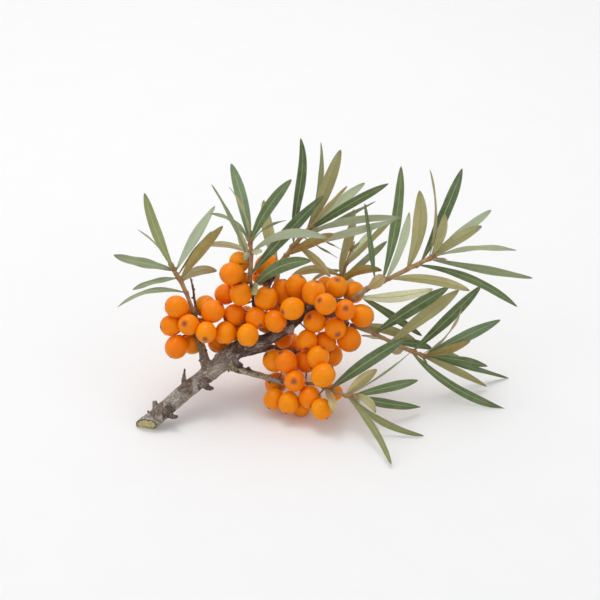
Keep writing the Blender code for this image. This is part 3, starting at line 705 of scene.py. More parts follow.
class Board:
    """A node tree being wired, with short ways to add and join its nodes."""

    def __init__(self, tree: bpy.types.NodeTree) -> None:
        """Keeps the tree.

        Args:
            tree: The tree to wire.
        """
        self.tree = tree

    def add(self, kind: str, **settings: object) -> bpy.types.Node:
        """Adds a node.

        Args:
            kind: The node's type.
            settings: Values of the node's own properties.

        Returns:
            The new node.
        """
        node = self.tree.nodes.new(kind)
        for name, value in settings.items():
            setattr(node, name, value)
        return node

    def feed(self, socket: bpy.types.NodeSocket, value: object) -> None:
        """Joins another socket to this one, or sets a plain value on it."""
        if isinstance(value, bpy.types.NodeSocket):
            self.tree.links.new(value, socket)
        elif isinstance(value, tuple) and len(value) == 3 and socket.type == "RGBA":
            socket.default_value = (*value, 1.0)
        else:
            socket.default_value = value

    def sum(self, operation: str, a: object, b: object = 0.0) -> bpy.types.NodeSocket:
        """The result of a sum on two values."""
        node = self.add("ShaderNodeMath", operation=operation)
        self.feed(node.inputs[0], a)
        self.feed(node.inputs[1], b)
        return node.outputs[0]

    def cloud(
        self, place: object, scale: object, detail: float = 3, rough: float = 0.55
    ) -> bpy.types.NodeSocket:
        """A noise value from 0 to 1 over a place.

        Args:
            place: The place to read the noise at.
            scale: How many waves fit into one unit of the place.
            detail: How many finer noises lie over the first.
            rough: How strong each finer noise is.

        Returns:
            The value.
        """
        node = self.add("ShaderNodeTexNoise")
        self.feed(node.inputs["Vector"], place)
        self.feed(node.inputs["Scale"], scale)
        self.feed(node.inputs["Detail"], detail)
        self.feed(node.inputs["Roughness"], rough)
        return node.outputs["Fac"]

    def times(self, a: object, b: object) -> bpy.types.NodeSocket:
        """One value times another."""
        return self.sum("MULTIPLY", a, b)

    def plus(self, a: object, b: object) -> bpy.types.NodeSocket:
        """One value and another."""
        return self.sum("ADD", a, b)

    def less(self, a: object, b: object) -> bpy.types.NodeSocket:
        """One value less another."""
        return self.sum("SUBTRACT", a, b)

    def span(self, value: object, low: float, high: float) -> bpy.types.NodeSocket:
        """A value that rises smoothly from 0 at low to 1 at high."""
        node = self.add("ShaderNodeMapRange", interpolation_type="SMOOTHSTEP")
        self.feed(node.inputs["Value"], value)
        self.feed(node.inputs["From Min"], low)
        self.feed(node.inputs["From Max"], high)
        return node.outputs["Result"]

    def mix(self, share: object, a: object, b: object, blend: str = "MIX") -> bpy.types.NodeSocket:
        """A colour between two, or the second laid over the first by a blend.

        Args:
            share: How much of the second is in it.
            a: The first colour.
            b: The second colour.
            blend: How the second is laid over the first.

        Returns:
            The colour.
        """
        node = self.add("ShaderNodeMix", data_type="RGBA", blend_type=blend)
        self.feed(node.inputs["Factor"], share)
        colours = [socket for socket in node.inputs if socket.type == "RGBA"]
        self.feed(colours[0], a)
        self.feed(colours[1], b)
        return next(socket for socket in node.outputs if socket.type == "RGBA")

    def tint(self, colour: object, value: object, most: float, other: object) -> bpy.types.NodeSocket:
        """A colour that turns towards another where a value is high.

        Args:
            colour: The colour where the value is 0.
            value: The value, from 0 to 1.
            most: How far the colour turns where the value is 1.
            other: The colour that it turns towards.

        Returns:
            The colour.
        """
        return self.mix(self.times(value, most), colour, other)

    def split(self, place: bpy.types.NodeSocket) -> bpy.types.NodeOutputs:
        """The X, Y and Z of a place, by name."""
        node = self.add("ShaderNodeSeparateXYZ")
        self.feed(node.inputs[0], place)
        return node.outputs

    def bump(self, height: object, depth_mm: float) -> bpy.types.NodeSocket:
        """A normal roughened by a height.

        Args:
            height: The height, from 0 to 1.
            depth_mm: How many millimetres a height of 1 stands for.

        Returns:
            The normal.
        """
        node = self.add("ShaderNodeBump")
        self.feed(node.inputs["Height"], height)
        self.feed(node.inputs["Strength"], 1.0)
        self.feed(node.inputs["Distance"], depth_mm * MM)
        return node.outputs["Normal"]

    def attribute(self, name: str, output: str) -> bpy.types.NodeSocket:
        """One of the mesh's attributes, as a vector or a colour."""
        return self.add("ShaderNodeAttribute", attribute_name=name).outputs[output]

    def place(self) -> bpy.types.NodeSocket:
        """The place in the object's own space."""
        return self.add("ShaderNodeTexCoord").outputs["Object"]

    def effect(self, group: bpy.types.NodeTree, **values: object) -> bpy.types.NodeOutputs:
        """Places a node group.

        Args:
            group: The group.
            values: What feeds each of its inputs, by name.

        Returns:
            The group's outputs.
        """
        node = self.add("ShaderNodeGroup", node_tree=group)
        for name, value in values.items():
            self.feed(node.inputs[name], value)
        return node.outputs


class Effects:
    """The shader node groups that several finishes share, each built once."""

    def __init__(self) -> None:
        """Builds all the groups."""
        self.grain = self.wood_grain()
        self.scales = self.skin_scales()
        self.veins = self.leaf_veins()
        self.blotches = self.weathering()

    @staticmethod
    def start(
        name: str, inputs: dict[str, str], outputs: Sequence[str]
    ) -> tuple[bpy.types.NodeTree, Board, bpy.types.NodeOutputs, bpy.types.NodeInputs]:
        """Starts a group with named sockets.

        Args:
            name: The group's name.
            inputs: The socket type of each input, by name.
            outputs: The names of the outputs, which are all values.

        Returns:
            The group, its board, what it is given and what it makes.
        """
        group = bpy.data.node_groups.new(name, "ShaderNodeTree")
        for label, kind in inputs.items():
            group.interface.new_socket(label, in_out="INPUT", socket_type=kind)
        for label in outputs:
            group.interface.new_socket(label, in_out="OUTPUT", socket_type="NodeSocketFloat")
        board = Board(group)
        given, made = board.add("NodeGroupInput"), board.add("NodeGroupOutput")
        return group, board, given.outputs, made.inputs

    def wood_grain(self) -> bpy.types.NodeTree:
        """Streaks along wood, the cracks between them, and paler patches.

        Returns:
            The group, whose Place is in millimetres with its length along the wood shortened.
        """
        kinds = {"Place": "NodeSocketVector", "Scale": "NodeSocketFloat"}
        group, board, given, made = self.start("wood_grain", kinds, ("Streak", "Crack", "Patch"))
        place, scale = given["Place"], given["Scale"]
        streak = board.cloud(place, board.times(scale, 1.6), 5, 0.62)
        ridged = board.sum("ABSOLUTE", board.less(board.cloud(place, scale, 4, 0.6), 0.5))
        board.feed(made["Streak"], board.span(streak, 0.32, 0.68))
        board.feed(made["Crack"], board.less(1.0, board.span(ridged, 0.0, 0.06)))
        patch = board.cloud(place, board.times(scale, 0.28), 3, 0.5)
        board.feed(made["Patch"], board.span(patch, 0.42, 0.62))
        return group

    def skin_scales(self) -> bpy.types.NodeTree:
        """The tiny round scales that dot leaves, stems and berries.

        Returns:
            The group, whose Size is a share of the distance between scales.
        """
        kinds = {"Place": "NodeSocketVector", "Scale": "NodeSocketFloat", "Size": "NodeSocketFloat"}
        group, board, given, made = self.start("skin_scales", kinds, ("Dots", "Relief"))
        cells = board.add("ShaderNodeTexVoronoi", feature="F1")
        board.feed(cells.inputs["Vector"], given["Place"])
        board.feed(cells.inputs["Scale"], given["Scale"])
        distance = cells.outputs["Distance"]
        share = board.sum("DIVIDE", distance, given["Size"])
        board.feed(made["Dots"], board.less(1.0, board.span(share, 0.6, 1.0)))
        board.feed(made["Relief"], board.less(1.0, board.span(distance, 0.0, 0.9)))
        return group

    def leaf_veins(self) -> bpy.types.NodeTree:
        """A blade's midrib, its side veins and its margin.

        Returns:
            The group, whose Spot holds the place across from -1 to 1, then along from 0 to 1.
        """
        group, board, given, made = self.start(
            "leaf_veins", {"Spot": "NodeSocketVector"}, ("Midrib", "Veins", "Margin", "Tip")
        )
        spot = board.split(given["Spot"])
        across, along = board.sum("ABSOLUTE", spot["X"]), spot["Y"]
        rib_width = board.less(0.13, board.times(along, 0.06))
        rib = board.sum("DIVIDE", across, rib_width)
        board.feed(made["Midrib"], board.less(1.0, board.span(rib, 0.45, 1.0)))
        swept = board.less(board.times(along, 22.0), board.times(across, 4.5))
        wave = board.sum("SINE", board.times(swept, 2 * math.pi))
        board.feed(made["Veins"], board.span(wave, 0.6, 1.0))
        board.feed(made["Margin"], board.span(across, 0.84, 1.0))
        board.feed(made["Tip"], board.span(along, 0.9, 1.0))
        return group

    def weathering(self) -> bpy.types.NodeTree:
        """Soft blotches and fine mottling over a skin.

        Returns:
            The group, with a broad and a fine value.
        """
        kinds = {"Place": "NodeSocketVector", "Scale": "NodeSocketFloat"}
        group, board, given, made = self.start("weathering", kinds, ("Broad", "Fine"))
        place, scale = given["Place"], given["Scale"]
        board.feed(made["Broad"], board.span(board.cloud(place, scale, 3), 0.35, 0.65))
        fine = board.cloud(place, board.times(scale, 6.0), 3)
        board.feed(made["Fine"], board.span(fine, 0.3, 0.7))
        return group


def new_finish(name: str) -> tuple[bpy.types.Material, Board, bpy.types.Node]:
    """Starts a material.

    Args:
        name: The finish's name.

    Returns:
        The material, a board to wire it on, and its Principled shader.
    """
    material = bpy.data.materials.new(name)
    material.use_nodes = True
    shader = material.node_tree.nodes["Principled BSDF"]
    return material, Board(material.node_tree), shader


@dataclass(frozen=True)
class BarkFinish:
    """Grey-brown bark with silvery patches, lengthwise streaks and dark cracks."""

    pale: Colour = paint(222, 215, 206)
    dark: Colour = paint(96, 82, 71)
    crack: Colour = paint(54, 43, 36)
    roughness: float = 0.86
    grain: float = 0.95

    def make(self, effects: Effects) -> bpy.types.Material:
        """Wires the material.

        Args:
            effects: The shared shader groups.

        Returns:
            The bark.
        """
        material, board, shader = new_finish("bark")
        place = board.attribute("spot", "Vector")
        grain = board.effect(effects.grain, Place=place, Scale=self.grain)
        weather = board.effect(effects.blotches, Place=place, Scale=0.35)
        dots = board.effect(effects.scales, Place=place, Scale=1.1, Size=0.2)
        streaks = board.times(grain["Streak"], 0.48)
        colour = board.mix(streaks, board.attribute("tone", "Color"), self.dark)
        pale = board.times(grain["Patch"], weather["Fine"])
        colour = board.tint(colour, pale, 0.75, self.pale)
        colour = board.tint(colour, dots["Dots"], 0.4, self.pale)
        colour = board.tint(colour, grain["Crack"], 0.55, self.crack)
        board.feed(shader.inputs["Base Color"], colour)
        shader.inputs["Roughness"].default_value = self.roughness
        height = board.less(grain["Streak"], grain["Crack"])
        height = board.plus(height, board.times(weather["Fine"], 0.5))
        board.feed(shader.inputs["Normal"], board.bump(height, 0.22))
        return material


@dataclass(frozen=True)
class SawnFinish:
    """Pale yellow wood as cut, with rings, saw marks and a dark, bruised rim."""

    rim: Colour = paint(86, 78, 34)
    ring: Colour = paint(186, 172, 98)
    roughness: float = 0.7

    def make(self, effects: Effects) -> bpy.types.Material:
        """Wires the material.

        Args:
            effects: The shared shader groups.

        Returns:
            The sawn wood.
        """
        material, board, shader = new_finish("cut_wood")
        spot = board.attribute("spot", "Vector")
        split = board.split(spot)
        weather = board.effect(effects.blotches, Place=spot, Scale=0.9)
        grain = board.effect(effects.grain, Place=spot, Scale=1.4)
        wobble = board.times(weather["Broad"], 0.12)
        from_middle = board.plus(split["Z"], wobble)
        rings = board.sum("SINE", board.times(from_middle, 42.0))
        colour = board.attribute("tone", "Color")
        colour = board.tint(colour, board.span(rings, 0.2, 1.0), 0.45, self.ring)
        colour = board.tint(colour, grain["Crack"], 0.55, self.rim)
        colour = board.mix(board.span(from_middle, 0.84, 1.02), colour, self.rim)
        board.feed(shader.inputs["Base Color"], colour)
        shader.inputs["Roughness"].default_value = self.roughness
        board.feed(shader.inputs["Normal"], board.bump(grain["Streak"], 0.3))
        return material


@dataclass(frozen=True)
class StemFinish:
    """Young, smooth wood with fine streaks, pale scales and darker leaf scars."""

    name: str = "young_stem"
    dark: Colour = paint(132, 98, 62)
    scale: Colour = paint(214, 192, 158)
    roughness: float = 0.52

    def make(self, effects: Effects) -> bpy.types.Material:
        """Wires the material.

        Args:
            effects: The shared shader groups.

        Returns:
            The young wood.
        """
        material, board, shader = new_finish(self.name)
        place = board.attribute("spot", "Vector")
        grain = board.effect(effects.grain, Place=place, Scale=1.5)
        dots = board.effect(effects.scales, Place=place, Scale=3.2, Size=0.3)
        colour = board.attribute("tone", "Color")
        colour = board.tint(colour, grain["Streak"], 0.5, self.dark)
        colour = board.tint(colour, dots["Dots"], 0.45, self.scale)
        colour = board.tint(colour, grain["Crack"], 0.4, self.dark)
        board.feed(shader.inputs["Base Color"], colour)
        shader.inputs["Roughness"].default_value = self.roughness
        height = board.less(dots["Relief"], grain["Crack"])
        board.feed(shader.inputs["Normal"], board.bump(height, 0.06))
        return material


@dataclass(frozen=True)
class LeafFinish:
    """One face of a leaf: its midrib, its veins, its margin and its dusting of silver scales."""

    name: str
    rib: Colour
    dust: Colour
    rib_share: float
    dust_share: float
    roughness: float
    sheen: float

    def make(self, effects: Effects) -> bpy.types.Material:
        """Wires the material.

        Args:
            effects: The shared shader groups.

        Returns:
            The leaf's face.
        """
        material, board, shader = new_finish(self.name)
        spot = board.attribute("spot", "Vector")
        place = board.place()
        veins = board.effect(effects.veins, Spot=spot)
        dots = board.effect(effects.scales, Place=place, Scale=3400.0, Size=0.42)
        weather = board.effect(effects.blotches, Place=place, Scale=240.0)
        colour = board.attribute("tone", "Color")
        colour = board.tint(colour, weather["Broad"], 0.16, self.dust)
        colour = board.tint(colour, dots["Dots"], self.dust_share, self.dust)
        darker = board.times(weather["Fine"], 0.25)
        colour = board.mix(darker, colour, board.mix(1.0, colour, paint(190, 190, 170), "MULTIPLY"))
        colour = board.tint(colour, veins["Veins"], 0.14, self.rib)
        colour = board.tint(colour, veins["Margin"], 0.3, self.rib)
        colour = board.tint(colour, veins["Tip"], 0.45, paint(150, 130, 84))
        colour = board.tint(colour, veins["Midrib"], self.rib_share, self.rib)
        board.feed(shader.inputs["Base Color"], colour)
        rough = board.times(dots["Dots"], 0.2)
        board.feed(shader.inputs["Roughness"], board.plus(rough, self.roughness))
        shader.inputs["Sheen Weight"].default_value = self.sheen
        shader.inputs["Sheen Roughness"].default_value = 0.4
        height = board.plus(dots["Relief"], board.times(veins["Veins"], -2.0))
        board.feed(shader.inputs["Normal"], board.bump(height, 0.05))
        return material


@dataclass(frozen=True)
class BerryFinish:
    """Glossy orange skin over translucent flesh, with fine dots and a bruised blush at the nose."""

    blush: Colour = paint(166, 88, 62)
    deep: Colour = paint(238, 112, 0)
    dot: Colour = paint(255, 196, 110)
    roughness: float = 0.3

    def make(self, effects: Effects) -> bpy.types.Material:
        """Wires the material.

        Args:
            effects: The shared shader groups.

        Returns:
            The berry skin.
        """
        material, board, shader = new_finish("berry")
        spot = board.attribute("spot", "Vector")
        split = board.split(spot)
        place = board.place()
        weather = board.effect(effects.blotches, Place=place, Scale=130.0)
        dots = board.effect(effects.scales, Place=place, Scale=1500.0, Size=0.16)
        colour = board.attribute("tone", "Color")
        colour = board.tint(colour, weather["Broad"], 0.3, self.deep)
        colour = board.tint(colour, dots["Dots"], 0.3, self.dot)
        edge = board.plus(split["Z"], board.times(weather["Fine"], 0.12))
        colour = board.tint(colour, board.span(edge, 0.3, 0.85), 0.8, self.blush)
        board.feed(shader.inputs["Base Color"], colour)
        rough = board.times(weather["Fine"], 0.1)
        board.feed(shader.inputs["Roughness"], board.plus(rough, self.roughness))
        shader.inputs["Specular IOR Level"].default_value = 0.14
        shader.inputs["Subsurface Weight"].default_value = 0.2
        shader.inputs["Subsurface Radius"].default_value = (1.0, 0.35, 0.08)
        shader.inputs["Subsurface Scale"].default_value = 1.6 * MM
        shader.inputs["Coat Weight"].default_value = 0.12
        shader.inputs["Coat Roughness"].default_value = 0.16
        height = board.plus(dots["Relief"], weather["Fine"])
        board.feed(shader.inputs["Normal"], board.bump(height, 0.025))
        return material


@dataclass(frozen=True)
class FloorFinish:
    """A plain pale floor, very faintly mottled."""

    pale: Colour = (0.86, 0.86, 0.865)
    mottle: Colour = (0.855, 0.855, 0.86)

    def make(self, effects: Effects) -> bpy.types.Material:
        """Wires the material.

        Args:
            effects: The shared shader groups.

        Returns:
            The floor.
        """
        material, board, shader = new_finish("floor")
        place = board.place()
        weather = board.effect(effects.blotches, Place=place, Scale=40.0)
        board.feed(shader.inputs["Base Color"], board.mix(weather["Broad"], self.pale, self.mottle))
        shader.inputs["Roughness"].default_value = 0.9
        return material


@dataclass
class Finishes:
    """Every finish of the sprig, made once."""

    effects: Effects

    def __post_init__(self) -> None:
        """Makes the materials."""
        self.bark = BarkFinish().make(self.effects)
        self.sawn = SawnFinish().make(self.effects)
        self.stem = StemFinish().make(self.effects)
        self.bud = StemFinish("bud", paint(120, 66, 36), paint(206, 160, 112), 0.6).make(self.effects)
        stalk = StemFinish("berry_stalk", paint(104, 84, 44), paint(190, 176, 120), 0.6)
        self.stalk = stalk.make(self.effects)
        self.calyx = StemFinish("calyx", paint(84, 52, 42), paint(160, 128, 104), 0.75).make(self.effects)
        upper = LeafFinish("leaf_upper", paint(190, 200, 156), paint(178, 190, 154), 0.62, 0.22, 0.5, 0.03)
        self.upper = upper.make(self.effects)
        under = LeafFinish("leaf_under", paint(178, 146, 92), paint(214, 210, 172), 0.7, 0.35, 0.64, 0.06)
        self.under = under.make(self.effects)
        self.berry = BerryFinish().make(self.effects)
        self.floor = FloorFinish().make(self.effects)


def blade_outline(t: float) -> float:
    """A leaf's half width.

    Args:
        t: The share of the leaf's length, from its foot.

    Returns:
        The half width, as a share of the widest.
    """
    root = BLADE_ROOT_WIDTH * max(1 - t / BLADE_ROOT_END, 0)
    return max(math.sin(math.pi * t**BLADE_SHIFT) ** BLADE_FULLNESS if t < 1 else 0, root)


@dataclass
class Shoot:
    """A leafy young stem: its smooth wood, its narrow leaves, and the buds in their axils."""

    name: str
    leaves: Sequence[Leaf]
    finishes: Finishes
    stations: int = 30
    across: tuple[float, ...] = (0, 0.08, 0.18, 0.36, 0.58, 0.78, 0.92, 1)
    thickness: float = 0.13 * MM
    groove: float = 0.1 * MM
    ridge: float = 0.2 * MM
    edge_roll: float = 0.22
    roll_start: float = 0.6
    rib_width: float = 0.1
    least_width: float = 0.03
    yellow_length: float = 0.16
    sides: int = 12
    scar_length: float = 1.1 * MM
    lobe_length: float = 0.9 * MM
    young_count: int = 4
    tip_bud: float = 1.0 * MM
    old_tone: Colour = paint(176, 154, 112)
    young_tone: Colour = paint(212, 168, 112)
    root_tone: Colour = paint(186, 176, 120)
    scar_tone: Colour = paint(128, 78, 48)

    def __post_init__(self) -> None:
        """Finds the stem's line and seeds its small irregularities."""
        self.route = ROUTES[self.name]
        self.luck = random.Random(self.name)

    def blade(self, mould: Mould, leaf: Leaf, root: Vector, tip: Vector) -> None:
        """Adds one leaf.

        Args:
            mould: What the leaf is added to.
            leaf: The leaf's width, bends and tone.
            root: Where it starts, inside its stem.
            tip: Where it ends.
        """
        chord = tip - root
        aside = TOWARD.cross(chord).normalized()
        bow, sway = (aside * bend * PICTURE_POINT / BEZIER_REACH for bend in (leaf.bow, leaf.sway))
        first, second = root + chord / 3 + bow + sway, root + chord * 2 / 3 + bow - sway
        phase, waves = self.luck.uniform(0, 2 * math.pi), self.luck.uniform(1.2, 2.6)
        ripple, light = self.luck.uniform(0.05, 0.16), self.luck.uniform(0.94, 1.18)
        samples = [-s for s in self.across[:0:-1]] + list(self.across)
        rings, heights = [], []
        for i in range(self.stations + 1):
            share = i / self.stations
            t = share / 2 + (1 - math.cos(math.pi * share)) / 4
            u = 1 - t
            place = u**3 * root + 3 * u * u * t * first + 3 * u * t * t * second + t**3 * tip
            slope = u * u * (first - root) + 2 * u * t * (second - first) + t * t * (tip - second)
            tangent = slope.normalized()
            facing = (TOWARD - tangent * TOWARD.dot(tangent)).normalized()
            facing = Matrix.Rotation(math.radians(leaf.roll + leaf.twist * t), 3, tangent) @ facing
            sideways = tangent.cross(facing)
            half = leaf.width * BLADE_BREADTH * PICTURE_POINT / 2 * max(blade_outline(t), self.least_width)
            swing = half * ripple * math.sin(2 * math.pi * waves * t + phase)
            top, under = [], []
            for s in samples:
                size = abs(s)
                rolled = self.edge_roll * max(size - self.roll_start, 0) ** 2
                lift = half * (BLADE_FOLD * size**1.3 - rolled) + swing * s * (0.4 + size)
                thick = self.thickness * (1 - 0.55 * size) * (1 - 0.5 * t)
                near_rib = math.exp(-((s / self.rib_width) ** 2)) * (1 - 0.75 * t)
                edge = place + sideways * half * s
                top.append(edge + facing * (lift + thick - self.groove * near_rib))
                under.append(edge + facing * (lift - thick - self.ridge * near_rib))
            rings.append(top + under[::-1])
            heights.append(t)
        count = len(samples)
        upper, lower = (shaded(colour, light) for colour in leaf.tone.value)
        spots = samples + samples[::-1]

        def tone(i: int, k: int) -> Colour:
            """The leaf's colour, a little yellower at its root."""
            base = upper if k < count else lower
            share = 0.35 * max(1 - heights[i] / self.yellow_length, 0)
            return blended(base, shaded(self.root_tone, light), share)

        mould.skin(rings, tone, lambda i, k: (spots[k], heights[i], light), lambda k: int(k >= count - 1))

    def young_leaves(self, mould: Mould) -> None:
        """Adds the few tiny leaves that open at the stem's tip."""
        end, way = self.route.points[-1], self.route.tangents()[-1]
        side = way.orthogonal().normalized()
        for k in range(self.young_count):
            angle = 2 * math.pi * (k + self.luck.random() / 2) / self.young_count
            turned = Matrix.Rotation(angle, 3, way) @ side
            length = self.luck.uniform(3.5, 6.5) * MM
            tip = end + (way * self.luck.uniform(0.7, 1) + turned * self.luck.uniform(0.3, 0.6)) * length
            leaf = Leaf(1, (0, 0), 0, self.luck.uniform(2.4, 3.6), self.luck.uniform(-60, 60), Tone.KHAKI)
            self.blade(mould, leaf, end - way * 0.5 * MM, tip)

    def stem(self, mould: Mould) -> None:
        """Adds the stem, swollen and scarred where its leaves leave it."""
        along = self.route.lengths()
        nodes = [leaf.at * along[-1] for leaf in self.leaves]
        phases = [self.luck.uniform(0, 2 * math.pi) for _ in nodes]

        def swelling(i: int) -> float:
            """How near the ring is to a leaf's foot, from 0 to 1."""
            return max(math.exp(-(((along[i] - node) / self.scar_length) ** 2)) for node in nodes)

        def swell(i: int, angle: float) -> float:
            """The factor on the stem's radius."""
            lobes = sum(
                math.exp(-(((along[i] - node) / self.lobe_length) ** 2)) * max(math.cos(angle - phase), 0)
                for node, phase in zip(nodes, phases)
            )
            return 0.9 + 0.45 * min(lobes, 1.2) + 0.06 * math.sin(3 * angle + along[i] / MM)

        def tone(i: int, k: int) -> Colour:
            """Olive-tan at the foot, rust at the tip and darker at each scar."""
            base = blended(self.old_tone, self.young_tone, along[i] / along[-1])
            return blended(base, self.scar_tone, 0.55 * swelling(i))

        def spot(i: int, k: int) -> Place:
            """The place on the stem in millimetres, shortened along it."""
            angle = 2 * math.pi * k / self.sides
            radius = self.route.radii[i] / MM
            return math.cos(angle) * radius, math.sin(angle) * radius, along[i] / MM / 3

        mould.skin(self.route.rings(self.sides, swell), tone, spot)

    def make(self) -> None:
        """Makes the shoot's pieces and fits them in place of its node."""
        stems, leaves, buds = Mould(), Mould(), Mould()
        self.stem(stems)
        for leaf in self.leaves:
            root, tip = self.route.place_at(leaf.at), sighted(*leaf.tip, leaf.out)
            self.blade(leaves, leaf, root, tip)
            way = (tip - root).normalized()
            axis = (self.route.tangents()[len(self.route.points) // 2] + way).normalized()
            bud(buds, root + axis * 0.8 * MM, axis, self.luck.uniform(0.45, 0.75) * MM, self.luck)
        self.young_leaves(leaves)
        end, way = self.route.points[-1], self.route.tangents()[-1]
        bud(buds, end, way, self.tip_bud, self.luck)
        finishes = self.finishes
        fit(stems.make(self.name + "_stem", [finishes.stem]), self.name)
        fit(leaves.make(self.name + "_leaves", [finishes.upper, finishes.under]), self.name)
        fit(buds.make(self.name + "_buds", [finishes.bud]), self.name)


def bud(
    mould: Mould, place: Vector, way: Vector, radius: float, luck: random.Random, tone: Colour = BUD_TONE
) -> None:
    """Adds a small pointed bud.

    Args:
        mould: What the bud is added to.
        place: The middle of its foot.
        way: The way that it points.
        radius: Its greatest radius.
        luck: Gives its small irregularities.
        tone: Its colour.
    """
    side = way.orthogonal().normalized()
    other = way.cross(side)
    rings = []
    for i in range(BUD_RINGS):
        t = i / (BUD_RINGS - 1)
        reach = radius * (math.sin(math.pi * min(t * 0.72 + 0.24, 1)) ** 0.8 + 0.03)
        reach *= 1 + 0.12 * math.cos(9 * t)
        middle = place + way * (t - 0.2) * radius * BUD_LENGTH_RATIO
        ring = []
        for angle in turns(BUD_SIDES):
            fold = reach * (1 + 0.1 * math.cos(3 * angle + 4 * t))
            ring.append(middle + fold * spoke(angle, side, other))
        rings.append(ring)
    base = shaded(tone, luck.uniform(0.75, 1.15))
    mould.skin(
        rings,
        lambda i, k: shaded(base, 0.7 + 0.5 * i / BUD_RINGS),
        lambda i, k: (k / 3, i / 3, place.x / MM),
    )


def wood_chain(names: Sequence[str]) -> list[tuple[Vector, float]]:
    """Points and radii along limbs and stems.

    Args:
        names: The limbs and stems.

    Returns:
        Each point of their middle lines, with the radius there.
    """
    return [ring for name in names for ring in zip(ROUTES[name].points, ROUTES[name].radii)]


def clearing(place: Vector, other: Vector, reach: float) -> float:
    """How far a point has to move along the line of sight to clear another.

    Args:
        place: The point that moves.
        other: The point to clear.
        reach: The distance that they need.

    Returns:
        The move towards the eye, or from it where negative.
    """
    away = place - other
    depth = away.dot(TOWARD)
    spare = reach * reach - away.length_squared
    if spare <= 0:
        return 0
    needed = math.sqrt(spare + depth * depth)
    return needed - depth if depth >= 0 else -needed - depth


@dataclass
class Settled:
    """Every berry's place, radius and bunch, once none sinks into wood or another bunch."""

    places: list[Vector] = field(default_factory=list)
    radii: list[float] = field(default_factory=list)
    bunches: list[str] = field(default_factory=list)
    berries: list[Berry] = field(default_factory=list)

    def __post_init__(self) -> None:
        """Starts each berry beside its twig and moves them along the line of sight until clear."""
        chains = {}
        for name, bunch in BUNCHES.items():
            chains[name] = wood_chain(bunch.twigs + bunch.others)
            near = wood_chain(bunch.twigs)
            for berry in bunch.berries:
                self.start(name, berry, near)
        for _ in range(SETTLING_ROUNDS):
            for i in range(len(self.places)):
                self.settle(i, chains[self.bunches[i]])

    def start(self, name: str, berry: Berry, near: list[tuple[Vector, float]]) -> None:
        """Places a berry as far out as the twig that it looks nearest to, and its face ask.

        Args:
            name: The berry's bunch.
            berry: The berry.
            near: Points and radii along the bunch's own twigs.
        """
        flat = sighted(berry.column, berry.row, 0)
        gaps = [place - flat for place, _ in near]
        seen = [(gap - TOWARD * gap.dot(TOWARD)).length for gap in gaps]
        wood, thick = near[seen.index(min(seen))]
        radius = BERRY_ACROSS / 2 * berry.scale * BERRY_ROUNDNESS
        out = (wood - flat).dot(TOWARD) + (radius + thick) * math.sin(math.radians(berry.face))
        self.places.append(sighted(berry.column, berry.row, out / MM))
        self.radii.append(radius)
        self.bunches.append(name)
        self.berries.append(berry)

    def settle(self, i: int, chain: list[tuple[Vector, float]]) -> None:
        """Moves one berry clear of the wood, of the berries before it and of the surface.

        Args:
            i: The berry's number.
            chain: Points and radii along the wood that the bunch keeps off.
        """
        places, radii = self.places, self.radii
        place = places[i]
        for wood, thick in chain:
            places[i] = place = place + TOWARD * clearing(place, wood, radii[i] + thick + NODE_GAP)
        for j in range(i):
            slack = NODE_GAP if self.bunches[i] != self.bunches[j] else -BERRY_PRESS
            push = clearing(place, places[j], radii[i] + radii[j] + slack) / 2
            places[i] = place = place + TOWARD * push
            places[j] = places[j] - TOWARD * push
        sunk = radii[i] - SURFACE_PRESS - place.z
        places[i] = place + TOWARD * (max(sunk, 0) / TOWARD.z)


